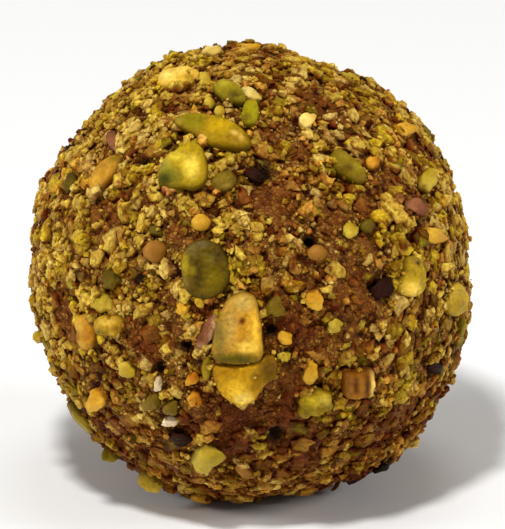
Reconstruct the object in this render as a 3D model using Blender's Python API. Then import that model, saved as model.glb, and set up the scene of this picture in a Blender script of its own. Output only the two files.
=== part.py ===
"""A protein ball: a hand-rolled ball of date and nut paste, coated in chopped pistachios.

Metres, +Z up. The ball rests on a small flat spot centred on the origin. Its best side faces
-Y and looks a little upwards. The coat's pieces are fused to the paste, so it is one solid.
"""

import math
import random

import bmesh
import bpy
from mathutils import Matrix, Vector, noise

MM = 0.001

# Driving dimensions
BALL_DIAMETER = 41.0 * MM
COAT_HEIGHT = 0.55 * MM  # how far the crumb coat stands over the paste
FLAT_RADIUS = 4.6 * MM  # the spot that the soft ball rests on
STRETCH = 0.017  # the ball is this share taller, and as much narrower, than a sphere
LEAN = math.radians(7.5)  # how far its long axis leans to the left
FACE_TILT = math.radians(20)  # how far the best side looks up

# Relief of the paste, and of the bed of fine crumbs on it: (waves per radius, height)
LUMPS = (2.9, 0.30 * MM)
CRAGS = (8.0, 0.26 * MM)
CRUMBS = (13.0, 0.75 * MM)
BED_HEIGHT = 0.24 * MM  # the bed's middle level over the paste

BED_SPLITS = 5  # icosphere subdivisions of the ball, for crumb-sized bumps
LARGE_PIECE = 3.0 * MM  # pieces at least this long get the finer shape
SEED = 41

CORE_RADIUS = BALL_DIAMETER / 2 - COAT_HEIGHT
CENTRE = Vector((0, 0, math.sqrt(CORE_RADIUS**2 - FLAT_RADIUS**2)))

# Directions of the best side, as seen by someone who looks straight at it
ACROSS = Vector((1, 0, 0))
UP = Vector((0, math.sin(FACE_TILT), math.cos(FACE_TILT)))
TOWARD = Vector((0, -math.cos(FACE_TILT), math.sin(FACE_TILT)))

# Where the palms pressed or missed the rim of the best side: (clock angle, height in mm, half
# width), with 0 degrees at the right and 90 at the top.
PALM_MARKS = (
    (37, 0.4, 20),
    (72, -0.85, 9),
    (100, 0.5, 16),
    (131, -0.35, 7),
    (150, 0.25, 12),
    (200, -0.35, 13),
    (236, 0.35, 14),
    (279, -0.75, 14),
    (306, 0.85, 13),
    (0, -0.2, 16),
)

# The larger pieces on the best side: (shape, across, up, length, width, turn). They are in mm
# from the ball's centre and in degrees, as seen from straight in front.
SHOWN_PIECES = (
    # split kernels and slivers
    ("sliver", -3.3, 12.7, 6.9, 2.7, -14),
    ("kernel", -5.5, 9.8, 3.8, 3.4, 20),
    ("kernel", -4.0, 0.5, 5.4, 4.9, -60),
    ("kernel", -0.9, -4.7, 5.8, 4.2, 100),
    ("kernel", -1.0, -9.6, 5.4, 3.8, -5),
    ("kernel", -9.1, -18.8, 2.4, 1.8, -20),
    ("sliver", 8.7, 9.7, 4.2, 1.6, -35),
    ("sliver", -13.0, 9.1, 3.8, 1.5, 49),
    ("sliver", -3.9, -8.3, 2.4, 1.0, 85),
    # chopped pieces, from the top down
    ("chunk", -0.2, 20.6, 2.4, 1.1, 0),
    ("chunk", -6.6, 17.7, 4.0, 1.7, 8),
    ("chunk", -1.9, 16.2, 2.5, 1.6, -38),
    ("chunk", 0.1, 16.1, 2.2, 1.1, -25),
    ("chunk", 0.0, 14.4, 2.2, 1.7, 80),
    ("chunk", 13.8, 13.0, 2.2, 1.4, 10),
    ("chunk", 15.8, 8.5, 2.2, 1.4, 100),
    ("chunk", -2.4, 8.4, 2.2, 2.0, 60),
    ("chunk", -16.1, 8.3, 1.8, 1.1, 80),
    ("chunk", -8.5, 4.0, 1.6, 1.0, -20),
    ("chunk", 16.6, 3.5, 2.3, 1.5, -10),
    ("chunk", 14.3, -0.3, 3.4, 2.0, 85),
    ("chunk", -12.4, -0.4, 2.0, 1.6, 90),
    ("chunk", 18.4, -2.2, 3.3, 1.8, 80),
    ("chunk", 5.7, -2.3, 1.9, 1.6, 110),
    ("chunk", -13.2, -2.4, 2.4, 1.8, 120),
    ("chunk", -6.0, -2.9, 1.9, 1.2, 70),
    ("chunk", 2.2, -2.9, 2.1, 1.9, 40),
    ("chunk", 7.6, -4.5, 1.6, 1.4, 20),
    ("chunk", -12.6, -4.5, 2.0, 1.4, -10),
    ("chunk", -14.6, -4.8, 2.5, 1.6, 85),
    ("chunk", 18.8, -5.2, 3.3, 1.8, 70),
    ("chunk", -11.0, -8.4, 2.0, 1.4, -20),
    ("chunk", 5.4, -8.7, 2.2, 1.4, 80),
    ("chunk", 9.5, -9.7, 2.9, 2.5, 5),
    ("chunk", -13.8, -11.2, 2.2, 1.8, 110),
    ("chunk", 5.7, -11.3, 3.1, 2.3, 15),
    ("chunk", -8.8, -11.4, 2.0, 1.6, 70),
    ("chunk", -7.1, -11.9, 1.6, 1.4, 60),
    ("chunk", -7.2, -13.2, 1.6, 0.9, -5),
    ("chunk", -3.8, -16.3, 3.3, 2.4, 15),
    ("chunk", -12.9, -16.5, 1.6, 1.3, -35),
    ("chunk", -0.4, -17.7, 2.2, 0.9, -28),
    ("chunk", -1.3, -20.4, 2.2, 0.8, -5),
    # round grains
    ("seed", -8.5, 2.1, 2.1, 2.1, 0),
    ("seed", -4.4, 4.7, 1.8, 1.6, 0),
    ("seed", 6.0, 2.0, 1.8, 1.5, 0),
    # flakes of the nuts' own skin
    ("skin", -12.4, 12.2, 2.4, 1.0, 105),
    ("skin", 0.3, 9.0, 2.0, 1.1, -30),
    ("skin", 14.9, 6.1, 2.2, 1.4, -30),
    ("skin", 11.9, -1.1, 2.5, 1.6, 40),
    ("skin", -3.8, -5.7, 2.4, 0.9, 60),
    ("skin", -6.3, -14.7, 2.4, 1.0, -15),
    ("skin", 12.1, -17.4, 2.2, 0.9, 15),
)

# The pieces on the other sides follow these shares: (shape, share, shortest and longest in mm,
# width as a share of the length)
MIX = (
    ("kernel", 0.09, (3.6, 5.6), 0.78),
    ("sliver", 0.09, (2.6, 5.6), 0.42),
    ("chunk", 0.62, (1.4, 3.3), 0.72),
    ("seed", 0.07, (1.3, 2.1), 0.94),
    ("skin", 0.13, (1.5, 2.6), 0.58),
)
HIDDEN_SPOTS = 104  # places on the whole ball, of which the hidden ones get a piece
HIDDEN_WANDER = 0.28  # how far they stray, as a share of their spacing
SHOWN_EDGE = 0.22  # a direction this far towards the viewer is on the best side
BARE_BASE = math.radians(17)  # no piece lies within this angle of the flat spot's centre

# For each shape: its height over the bed as a share of its width, and its number of cuts
HEIGHTS = {"kernel": 0.22, "sliver": 0.30, "chunk": 0.32, "seed": 0.40, "skin": 0.24}
CUTS = {"kernel": 4, "sliver": 2, "chunk": 5, "seed": 0, "skin": 0}
LEAST_HEIGHT, MOST_HEIGHT = 0.35 * MM, 0.95 * MM
ROOT_DEPTH = 0.65 * MM  # how much of a piece is at least sunk in the bed
FULLNESS = 1.7  # a piece is at least this many times as thick as it stands over the bed

# A cut lies this far from a piece's middle, as a share of its size, and leans this much
CUT_REACH = (0.55, 0.85)
CUT_LEAN = (-0.25, 0.45)
ROUGHNESS = (0.86, 1.14)  # how unevenly a small piece is broken

SETTLE_ROUNDS = 4  # rounds that settle a seen piece's direction and radius against each other
RIM_DEPTH = 0.12  # how far in front of the outline a rim piece sits, as a share of the radius
RIM = 0.96  # beyond this share of the radius a piece shows on the outline, edge on
STEEPEST = 0.55  # the least share of its size that a piece off the rim turns to the viewer
CREASE = math.radians(38)  # edges sharper than this stay sharp
COAT_COLOR = (0.22, 0.10, 0.012, 1)
COAT_ROUGHNESS = 0.6
THINNING = 0.78  # share of the faces that stay when the slivers where pieces meet are cleared


def clear_scene():
    for old in list(bpy.data.objects):
        bpy.data.objects.remove(old)


def bed_radius(direction):
    """The bed's radius in a direction, with the ball's stretch, palm marks, lumps and crags."""
    long_axis = math.cos(LEAN) * UP - math.sin(LEAN) * ACROSS
    radius = CORE_RADIUS * (1 + STRETCH * (2 * direction.dot(long_axis) ** 2 - 1)) + BED_HEIGHT
    for clock, height, half_width in PALM_MARKS:
        angle = math.radians(clock)
        mark = math.cos(angle) * ACROSS + math.sin(angle) * UP
        away = direction.angle(mark) / math.radians(half_width)
        radius += height * MM * math.exp(-away * away)
    for waves, height in (LUMPS, CRAGS):
        radius += height * noise.noise(direction * waves)
    return radius


def seat_shown(across, up, length, width, turn):
    """Axes and middle of a piece that shows the stated outline to someone in front of it."""
    seen = Vector((across, up)) * MM
    radius = CORE_RADIUS
    for _ in range(SETTLE_ROUNDS):
        depth = math.sqrt(max(radius**2 - seen.length_squared, (RIM_DEPTH * radius) ** 2))
        normal = (seen.x * ACROSS + seen.y * UP + depth * TOWARD).normalized()
        radius = max(bed_radius(normal), seen.length)
    at_rim = seen.length > RIM * CORE_RADIUS
    if at_rim:
        long_axis = normal.cross(TOWARD).normalized() * length * MM / 2
        wide_axis = normal.cross(long_axis).normalized() * width * MM / 2
    else:
        facing = max(normal.dot(TOWARD), STEEPEST)
        axes = []
        for size, angle in ((length, turn), (width, turn + 90)):
            angle = math.radians(angle)
            flat = (math.cos(angle) * ACROSS + math.sin(angle) * UP) * size * MM / 2
            axes.append(flat - TOWARD * (flat.dot(normal) / facing))
        long_axis, wide_axis = axes
    rise = radius - bed_radius(normal)  # only a rim piece can stand off the bed
    return normal, long_axis, wide_axis, rise


def seat_at(direction, length, width, turn):
    """Axes of a piece that lies on the ball in a direction, turned about its own normal."""
    side = direction.orthogonal().normalized()
    long_axis = Matrix.Rotation(turn, 3, direction) @ side
    wide_axis = direction.cross(long_axis)
    return direction, long_axis * length / 2, wide_axis * width / 2, 0.0


def even_spots(count, rng, wander):
    """Directions spread evenly over the ball, each moved a little by chance."""
    golden = math.pi * (3 - math.sqrt(5))
    spacing = math.sqrt(4 * math.pi / count)
    for i in range(count):
        z = 1 - 2 * (i + 0.5) / count
        ring = math.sqrt(1 - z * z)
        spot = Vector((ring * math.cos(golden * i), ring * math.sin(golden * i), z))
        step = Vector([rng.uniform(-1, 1) for _ in range(3)])
        yield (spot + step * spacing * wander).normalized()


def near_base(direction):
    return direction.angle(Vector((0, 0, -1))) < BARE_BASE


def coat_plan():
    """Every piece of the coat, largest first: (shape, normal, long axis, wide axis, rise)."""
    plan = [(row[0], *seat_shown(*row[1:])) for row in SHOWN_PIECES]
    rng = random.Random(SEED)
    shapes = [row[0] for row in MIX]
    shares = [row[1] for row in MIX]
    sizes = {row[0]: row[2:] for row in MIX}
    for spot in even_spots(HIDDEN_SPOTS, rng, HIDDEN_WANDER):
        shape = rng.choices(shapes, shares)[0]
        (shortest, longest), slenderness = sizes[shape]
        length = rng.uniform(shortest, longest) * MM
        turn = rng.uniform(0, math.tau)
        if spot.dot(TOWARD) < SHOWN_EDGE and not near_base(spot):
            plan.append((shape, *seat_at(spot, length, length * slenderness, turn)))
    return plan


def chop(bm, rng, cuts):
    """Cuts flat faces across a unit shape, as a knife does."""
    for _ in range(cuts):
        around = rng.uniform(0, math.tau)
        normal = Vector((math.cos(around), math.sin(around), rng.uniform(*CUT_LEAN))).normalized()
        bmesh.ops.bisect_plane(
            bm,
            geom=bm.verts[:] + bm.edges[:] + bm.faces[:],
            plane_co=normal * rng.uniform(*CUT_REACH),
            plane_no=normal,
            clear_outer=True,
        )
        open_edges = [edge for edge in bm.edges if edge.is_boundary]
        bmesh.ops.holes_fill(bm, edges=open_edges, sides=0)


def make_piece(index, shape, normal, long_axis, wide_axis, rise, rng):
    """One closed piece of the coat, with its top just over the bed and its root inside."""
    length, width = 2 * long_axis.length, 2 * wide_axis.length
    height = min(max(HEIGHTS[shape] * min(length, width), LEAST_HEIGHT), MOST_HEIGHT)
    if rise > 0:
        height = rise + width / 2
    thickness = max(height + ROOT_DEPTH, FULLNESS * height)
    bm = bmesh.new()
    fine = max(length, width) >= LARGE_PIECE or shape == "seed"
    bmesh.ops.create_icosphere(bm, subdivisions=2 if fine else 1, radius=1.0)
    if fine:
        chop(bm, rng, CUTS[shape])
    else:
        for vert in bm.verts:
            vert.co *= rng.uniform(*ROUGHNESS)
    middle = CENTRE + normal * (bed_radius(normal) + height - thickness / 2)
    tall_axis = normal * thickness / 2
    place = Matrix((long_axis, wide_axis, tall_axis)).transposed().to_4x4()
    bm.transform(Matrix.Translation(middle) @ place)
    bmesh.ops.triangulate(bm, faces=bm.faces[:])
    bmesh.ops.recalc_face_normals(bm, faces=bm.faces[:])
    mesh = bpy.data.meshes.new(f"coat_{index:03d}")
    bm.to_mesh(mesh)
    bm.free()
    return bpy.data.objects.new(mesh.name, mesh)


def make_ball():
    """The paste with its bed of fine crumbs, an icosphere pulled to its radius all over."""
    bm = bmesh.new()
    bmesh.ops.create_icosphere(bm, subdivisions=BED_SPLITS, radius=1.0)
    waves, height = CRUMBS
    for vert in bm.verts:
        direction = vert.co.normalized()
        crumb = height * noise.noise(direction * waves)
        vert.co = CENTRE + direction * (bed_radius(direction) + crumb)
    mesh = bpy.data.meshes.new("protein_ball")
    bm.to_mesh(mesh)
    bm.free()
    return bpy.data.objects.new(mesh.name, mesh)


def fuse(ball, coat):
    """Joins the coat to the ball with one union, and removes the loose pieces."""
    union = ball.modifiers.new("fuse_coat", "BOOLEAN")
    union.operation = "UNION"
    union.operand_type = "COLLECTION"
    union.solver = "MANIFOLD"
    union.collection = coat
    thin = ball.modifiers.new("clear_slivers", "DECIMATE")
    thin.ratio = THINNING
    bpy.context.view_layer.update()
    graph = bpy.context.evaluated_depsgraph_get()
    fused = bpy.data.meshes.new_from_object(ball.evaluated_get(graph))
    ball.modifiers.clear()
    ball.data = fused
    for piece in list(coat.objects):
        bpy.data.objects.remove(piece)
    bpy.data.collections.remove(coat)


def drop_scraps(bm):
    """Removes all but the largest connected body, such as the tip of a cut grain."""
    left = set(bm.verts)
    bodies = []
    while left:
        body, edge_of_body = set(), [left.pop()]
        while edge_of_body:
            vert = edge_of_body.pop()
            body.add(vert)
            near = {edge.other_vert(vert) for edge in vert.link_edges} & left
            left -= near
            edge_of_body.extend(near)
        bodies.append(body)
    bodies.sort(key=len)
    scraps = [vert for body in bodies[:-1] for vert in body]
    bmesh.ops.delete(bm, geom=scraps, context="VERTS")


def cut_flat_spot(ball):
    """Cuts the ball level at z = 0, where its own weight has pressed it flat."""
    bm = bmesh.new()
    bm.from_mesh(ball.data)
    drop_scraps(bm)
    bmesh.ops.bisect_plane(
        bm,
        geom=bm.verts[:] + bm.edges[:] + bm.faces[:],
        plane_co=(0, 0, 0),
        plane_no=(0, 0, -1),
        clear_outer=True,
    )
    bmesh.ops.holes_fill(bm, edges=[edge for edge in bm.edges if edge.is_boundary], sides=0)
    bmesh.ops.triangulate(bm, faces=bm.faces[:])
    bm.to_mesh(ball.data)
    bm.free()


def coat_material():
    material = bpy.data.materials.new("pistachio_coat")
    material.use_nodes = True
    shader = material.node_tree.nodes["Principled BSDF"]
    shader.inputs["Base Color"].default_value = COAT_COLOR
    shader.inputs["Roughness"].default_value = COAT_ROUGHNESS
    shader.inputs["Metallic"].default_value = 0.0
    return material


def main():
    clear_scene()
    scene = bpy.context.scene
    model = bpy.data.collections.new("protein_ball")
    coat = bpy.data.collections.new("coat_pieces")
    scene.collection.children.link(model)
    scene.collection.children.link(coat)
    ball = make_ball()
    model.objects.link(ball)
    rng = random.Random(SEED + 1)
    for index, row in enumerate(coat_plan()):
        coat.objects.link(make_piece(index, *row, rng))
    fuse(ball, coat)
    cut_flat_spot(ball)
    ball.data.shade_smooth()
    ball.data.set_sharp_from_angle(angle=CREASE)
    ball.data.materials.clear()
    ball.data.materials.append(coat_material())
    print(f"protein_ball: {len(ball.data.polygons)} triangles")


main()
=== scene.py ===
import math
import random

import bpy
import numpy as np
from mathutils import Matrix, Vector, kdtree, noise


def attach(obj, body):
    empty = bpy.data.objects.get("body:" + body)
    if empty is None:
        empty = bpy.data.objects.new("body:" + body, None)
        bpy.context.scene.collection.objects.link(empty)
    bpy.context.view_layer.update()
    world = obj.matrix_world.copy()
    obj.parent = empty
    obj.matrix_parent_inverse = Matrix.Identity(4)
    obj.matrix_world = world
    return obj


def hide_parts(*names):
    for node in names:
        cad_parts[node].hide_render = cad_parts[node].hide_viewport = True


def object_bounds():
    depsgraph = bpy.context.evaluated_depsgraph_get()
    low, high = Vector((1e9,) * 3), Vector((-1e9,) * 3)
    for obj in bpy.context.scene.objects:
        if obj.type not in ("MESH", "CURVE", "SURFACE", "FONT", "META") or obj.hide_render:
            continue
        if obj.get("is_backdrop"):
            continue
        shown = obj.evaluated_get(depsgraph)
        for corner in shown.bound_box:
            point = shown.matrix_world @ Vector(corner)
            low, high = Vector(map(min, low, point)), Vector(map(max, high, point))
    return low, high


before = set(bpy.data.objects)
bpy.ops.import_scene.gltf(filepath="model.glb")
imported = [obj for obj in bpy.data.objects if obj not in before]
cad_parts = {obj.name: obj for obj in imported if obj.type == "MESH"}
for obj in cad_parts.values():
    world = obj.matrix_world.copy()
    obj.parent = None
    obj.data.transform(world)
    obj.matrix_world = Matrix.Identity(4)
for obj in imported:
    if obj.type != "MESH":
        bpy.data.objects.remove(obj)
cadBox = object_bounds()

# a hand-rolled ball of date and nut paste, coated in chopped pistachios
mm = 0.001


def clamp(value, lowest=0, highest=1):
    return min(max(value, lowest), highest)


def strayVector(rng, spread=1):
    return Vector([rng.gauss(0, spread) for _ in range(3)])


def boxVector(rng, reach=1):
    return Vector([rng.uniform(-reach, reach) for _ in range(3)])


# form of the ball, the same as the frame's
ball = {
    "diameter": 41.0 * mm,
    "coatHeight": 0.55 * mm,
    "bedHeight": 0.24 * mm,  # middle level of the crumb bed over the paste
    "flatRadius": 4.6 * mm,
    "stretch": 0.017,
    "lean": math.radians(7.5),
    "faceTilt": math.radians(20),  # the best side looks up this much
    "reliefs": ((2.9, 0.30 * mm), (8.0, 0.26 * mm)),  # waves per radius, height
    "palmMarks": (  # clock angle, height in mm, half width in degrees
        (37, 0.4, 20), (72, -0.85, 9), (100, 0.5, 16), (131, -0.35, 7), (150, 0.25, 12),
        (200, -0.35, 13), (236, 0.35, 14), (279, -0.75, 14), (306, 0.85, 13), (0, -0.2, 16),
    ),
}
coreRadius = ball["diameter"] / 2 - ball["coatHeight"]
centre = Vector((0, 0, math.sqrt(coreRadius**2 - ball["flatRadius"] ** 2)))
across = Vector((1, 0, 0))
up = Vector((0, math.sin(ball["faceTilt"]), math.cos(ball["faceTilt"])))
toward = Vector((0, -math.cos(ball["faceTilt"]), math.sin(ball["faceTilt"])))
longAxisOfBall = math.cos(ball["lean"]) * up - math.sin(ball["lean"]) * across


def clockDirection(degrees):
    return math.cos(math.radians(degrees)) * across + math.sin(math.radians(degrees)) * up


palmMarks = [
    (clockDirection(clock), height * mm, math.radians(width)) for clock, height, width in ball["palmMarks"]
]


def bedRadius(direction):
    radius = coreRadius * (1 + ball["stretch"] * (2 * direction.dot(longAxisOfBall) ** 2 - 1))
    radius += ball["bedHeight"]
    for mark, height, halfWidth in palmMarks:
        away = direction.angle(mark) / halfWidth
        radius += height * math.exp(-away * away)
    for waves, height in ball["reliefs"]:
        radius += height * noise.noise(direction * waves)
    return radius


def shownSpot(x, y):
    # direction and radius of the point that someone in front sees at (x, y) mm
    seen = Vector((x, y)) * mm
    radius = coreRadius
    for _ in range(4):
        depth = math.sqrt(max(radius**2 - seen.length_squared, (0.12 * radius) ** 2))
        direction = (seen.x * across + seen.y * up + depth * toward).normalized()
        radius = max(bedRadius(direction), seen.length)
    return direction, radius


# patches where the coat is thin, and pits in the paste: across, up, radius in mm

bareness = {
    "patches": (
        (-13.0, 5.1, 2.0), (-17.0, -2.6, 1.5), (-16.8, -4.6, 1.5), (-10.9, -4.1, 0.8), (8.9, -2.0, 3.3),
        (4.5, -16.3, 2.8), (2.4, 6.6, 2.2), (4.6, 10.8, 1.2), (13.0, 8.6, 1.3), (14.9, 5.9, 1.0),
        (14.0, -13.1, 2.2), (5.0, -5.3, 1.9), (7.4, -6.4, 1.3), (11.5, -8.3, 1.6), (3.4, -9.4, 1.6),
        (3.2, -12.6, 2.3), (9.4, -14.2, 1.1), (1.6, -2.4, 1.4), (-6.9, -5.2, 0.8), (-10.2, -8.8, 1.3),
        (-5.0, -13.2, 1.3), (10.6, 3.0, 1.4), (5.4, 16.0, 1.3), (3.1, 4.2, 1.6), (-1.4, -12.8, 1.9),
        (3.4, -4.5, 1.6), (-9.5, -6.1, 1.5), (-4.1, -3.2, 1.1), (10.6, 5.8, 1.2), (7.6, 4.9, 1.5),
        (-1.9, -15.6, 1.6), (-4.1, -10.7, 1.0), (1.2, 12.7, 1.1), (8.3, 13.9, 1.5), (0.3, 6.7, 1.2),
        (-3.6, 14.9, 0.8), (-7.0, 4.1, 1.0),
    ),
    "moist": (  # where the paste is dark and moist
        (3.6, -4.9, 2.3), (-1.4, -13.0, 2.7), (4.4, -16.2, 2.5), (-1.9, -15.9, 2.3), (-4.2, -10.6, 1.5),
        (-9.5, -6.3, 1.5), (3.2, -12.6, 1.6), (-4.1, -3.3, 1.0), (-8.0, -15.6, 2.2), (10.2, -16.0, 2.2),
    ),
    "softness": 0.6,  # share of a patch's radius over which it fades
    "wildWaves": 4.2,  # patches on the other sides
    "wildLevel": 0.16,
    "wildOffset": (5, 2, 9),
    "moistOffset": (5.2, 2.3, 8.9),
}
pits = {
    "places": (
        (-10.3, -0.4, 0.9), (0.9, 9.3, 1.5), (-8.3, -8.5, 0.9), (2.2, -14.7, 1.3), (16.8, -8.2, 1.1),
        (11.8, -1.1, 1.4), (17.6, 9.5, 0.9), (-9.8, 10.3, 0.8), (-12.6, 8.6, 0.8), (1.9, -5.1, 0.8),
        (13.3, 15.2, 0.8), (7.6, 8.8, 0.7), (5.4, 3.1, 0.8), (-3.2, 15.2, 0.8), (-5.9, -6.4, 1.0),
    ),
    "depth": 1.0 * mm,
    "wildCount": 26,  # on the other sides
    "wildSizes": (0.5, 1.0),
}

barePatches, moistPatches, pitPlaces = (
    [(shownSpot(x, y)[0], size * mm) for x, y, size in rows]
    for rows in (bareness["patches"], bareness["moist"], pits["places"])
)
pitRng = random.Random(7)
for _ in range(pits["wildCount"]):
    wild = strayVector(pitRng).normalized()
    if wild.dot(toward) < 0.1:
        pitPlaces.append((wild, pitRng.uniform(*pits["wildSizes"]) * mm))


def metresApart(direction, spot):
    return (direction - spot).length * coreRadius


def patchShare(direction, patches):
    # 1 inside a patch, and 0 away from all of them
    softness = bareness["softness"]
    share = 0
    if direction.dot(toward) > 0:
        for spot, size in patches:
            away = metresApart(direction, spot) / size
            share = max(share, clamp((1 + softness - away) / (2 * softness)))
    return share


def wildShare(direction, offset):
    wild = noise.noise(direction * bareness["wildWaves"] + Vector(offset)) - bareness["wildLevel"]
    shown = clamp(direction.dot(toward) * 3)
    return clamp(wild * 4) * (1 - 0.6 * shown)


def bareAt(direction):
    # 0 where the coat is full, 1 where the paste shows
    return max(patchShare(direction, barePatches), wildShare(direction, bareness["wildOffset"]))


def moistAt(direction):
    wild = 0.8 * wildShare(direction, bareness["moistOffset"])
    return max(patchShare(direction, moistPatches), wild)


def pitAt(direction):
    # 0 on the surface, 1 at the bottom of a pit
    pit = 0
    for spot, size in pitPlaces:
        away = metresApart(direction, spot) / size
        if away < 1.6:
            pit = max(pit, math.exp(-away * away * 2.2))
    return pit


def overPit(direction, length):
    # whether a crumb of that length would roof a pit
    return any(metresApart(direction, spot) < 0.5 * size + 0.36 * length for spot, size in pitPlaces)


pasteRelief = {
    "clods": (22, 0.36 * mm),  # waves per radius, height
    "grit": (62, 0.14 * mm),
    "crumbs": (19, 0.26 * mm, 0.3),  # crumbs pressed into it: cells per radius, height, width of the gaps
    "sink": 0.10 * mm,  # the paste's middle level under the form of the ball
}


def crumbRelief(direction):
    # 0 in the gaps between the pressed crumbs, 1 on top of them
    cells, _, gap = pasteRelief["crumbs"]
    nearest = noise.voronoi(direction * cells)[0]
    return min((nearest[1] - nearest[0]) / gap, 1)


def pasteRadius(direction):
    radius = bedRadius(direction) - ball["bedHeight"] - pasteRelief["sink"]
    for waves, height in (pasteRelief["clods"], pasteRelief["grit"]):
        radius += height * noise.noise(direction * waves)
    radius += pasteRelief["crumbs"][1] * (crumbRelief(direction) - 0.6)
    return radius - pits["depth"] * pitAt(direction)


def srgb(red, green, blue):
    return tuple(
        (part / 255 / 12.92) if part < 11 else ((part / 255 + 0.055) / 1.055) ** 2.4
        for part in (red, green, blue)
    )


# what each tone is at one end of a piece, at its other end, and low on its sides, where its darker colour is
# painted shade
tones = {
    "green": ((156, 134, 26), (126, 106, 8), (78, 58, 4)),
    "darkGreen": ((104, 86, 12), (84, 66, 6), (50, 36, 4)),
    "olive": ((128, 104, 22), (108, 84, 10), (70, 50, 6)),
    "pale": ((204, 174, 60), (174, 144, 30), (108, 80, 12)),
    "gold": ((222, 170, 54), (204, 148, 30), (140, 88, 12)),
    "amber": ((214, 154, 42), (178, 104, 10), (112, 54, 2)),
    "cream": ((240, 214, 122), (216, 180, 84), (150, 112, 44)),
    "tan": ((168, 116, 44), (136, 86, 22), (88, 46, 8)),
    "white": ((238, 218, 184), (216, 190, 150), (150, 112, 70)),
    "plum": ((46, 10, 6), (30, 5, 4), (18, 3, 2)),
    "mauve": ((160, 102, 70), (124, 70, 44), (80, 38, 22)),
    "dark": ((34, 20, 8), (20, 9, 4), (12, 4, 2)),
}

# colour, share on the yellower left side, share on the browner right side; light to dark
crumbTones = {
    "white": ((250, 222, 130), 0.003, 0.003),
    "cream": ((248, 218, 118), 0.23, 0.13),
    "straw": ((226, 196, 82), 0.26, 0.20),
    "gold": ((208, 158, 50), 0.015, 0.02),
    "tan": ((192, 144, 60), 0.02, 0.12),
    "oliveYellow": ((180, 154, 36), 0.32, 0.20),
    "rose": ((168, 114, 64), 0.004, 0.008),
    "green": ((132, 120, 10), 0.09, 0.05),
    "oliveBrown": ((142, 104, 14), 0.03, 0.14),
    "pasteBrown": ((134, 80, 24), 0.01, 0.10),
    "darkGreen": ((88, 66, 4), 0.022, 0.032),
}
pasteAndShadeTone = np.array(srgb(84, 10, 1))  # paste that clings low on every crumb, made darker and redder as painted shade too
palest = 0.82


def deepen(colour, share):
    # scales a colour by that share: darker ones turn redder, as shade among red-brown crumbs looks, which
    # gives painted shade its tint, and lighter ones paler
    powers = (1, 1.7, 2.7) if share < 1 else (1, 1, 1)
    changed = np.array(colour) * [share**power for power in powers]
    return changed * min(1, palest / changed.max())


# prototypes, modelled once and then copied
looks = {
    # corners of the outline, how far they reach and how often each side is split, rings of extrusion (rise,
    # shrink), how much the points stray, subdivision levels, and sculpted swells (waves, depth)
    "kernel": dict(corners=(7, 9), reach=(0.8, 1.0), splits=2, rings=((0.9, 1.02), (0.4, 0.92), (0.2, 0.7)),
                   stray=0.03, levels=2, swells=((1.5, 0.12), (4.0, 0.04), (9.0, 0.02))),
    "sliver": dict(corners=(7, 9), reach=(0.82, 1.0), splits=2, rings=((0.9, 1.0), (0.4, 0.9), (0.2, 0.66)),
                   stray=0.03, levels=2, swells=((1.6, 0.12), (4.0, 0.04), (9.0, 0.02))),
    "chunk": dict(corners=(5, 7), reach=(0.66, 1.0), splits=2, rings=((0.8, 1.0), (0.4, 0.88), (0.2, 0.58)),
                  stray=0.09, levels=1, swells=((1.8, 0.24), (4.5, 0.14))),
    "coarse": dict(corners=(8, 12), reach=(0.52, 1.0), splits=1, rings=((0.8, 1.0), (0.4, 0.84), (0.2, 0.5)),
                   stray=0.12, levels=0, swells=((2.2, 0.3), (5.0, 0.2))),
    "medium": dict(corners=(6, 9), reach=(0.44, 1.0), splits=1, rings=((0.9, 0.96), (0.5, 0.62)),
                   stray=0.19, levels=0, swells=((1.6, 0.3),)),
    "fine": dict(corners=(5, 6), reach=(0.6, 1.0), splits=1, rings=((0.9, 0.94), (0.5, 0.6)),
                 stray=0.2, levels=0, swells=((1.2, 0.2),)),
    "dust": dict(corners=(4, 5), reach=(0.6, 1.0), splits=1, rings=((1.4, 0.75),),
                 stray=0.22, levels=0, swells=()),
}
seedLook = {"subdivisions": 3, "swells": ((1.4, 0.16), (4.5, 0.05))}
flakeLook = {
    "cells": (10, 8), "curl": (0.25, 0.6), "thickness": 0.28,
    "ragged": (2.3, 0.25), "warp": (1.4, 0.3),  # waves, depth
}


noiseReach = 50  # how far away in the noise each shape may take its swells


def splitSides(outline, splits, wobble, rng):
    # more points along each side, none of them quite straight
    fine = []
    for index, (x, y) in enumerate(outline):
        nextX, nextY = outline[(index + 1) % len(outline)]
        side = math.hypot(nextX - x, nextY - y)
        for step in range(splits):
            share = step / splits
            stray = [rng.uniform(-wobble, wobble) * side for _ in range(2)]
            fine.append((x + (nextX - x) * share + stray[0], y + (nextY - y) * share + stray[1]))
    return fine


def startShape(addPrimitive, **settings):
    bpy.ops.object.select_all(action="DESELECT")
    addPrimitive(**settings)
    return bpy.context.object


def applyModifiers(shape):
    bpy.context.view_layer.objects.active = shape
    for modifier in list(shape.modifiers):
        bpy.ops.object.modifier_apply(modifier=modifier.name)


def cutInTriangles(shape):
    # the other modifiers are applied with it
    shape.modifiers.new("triangles", "TRIANGULATE").quad_method = "BEAUTY"
    applyModifiers(shape)


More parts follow.
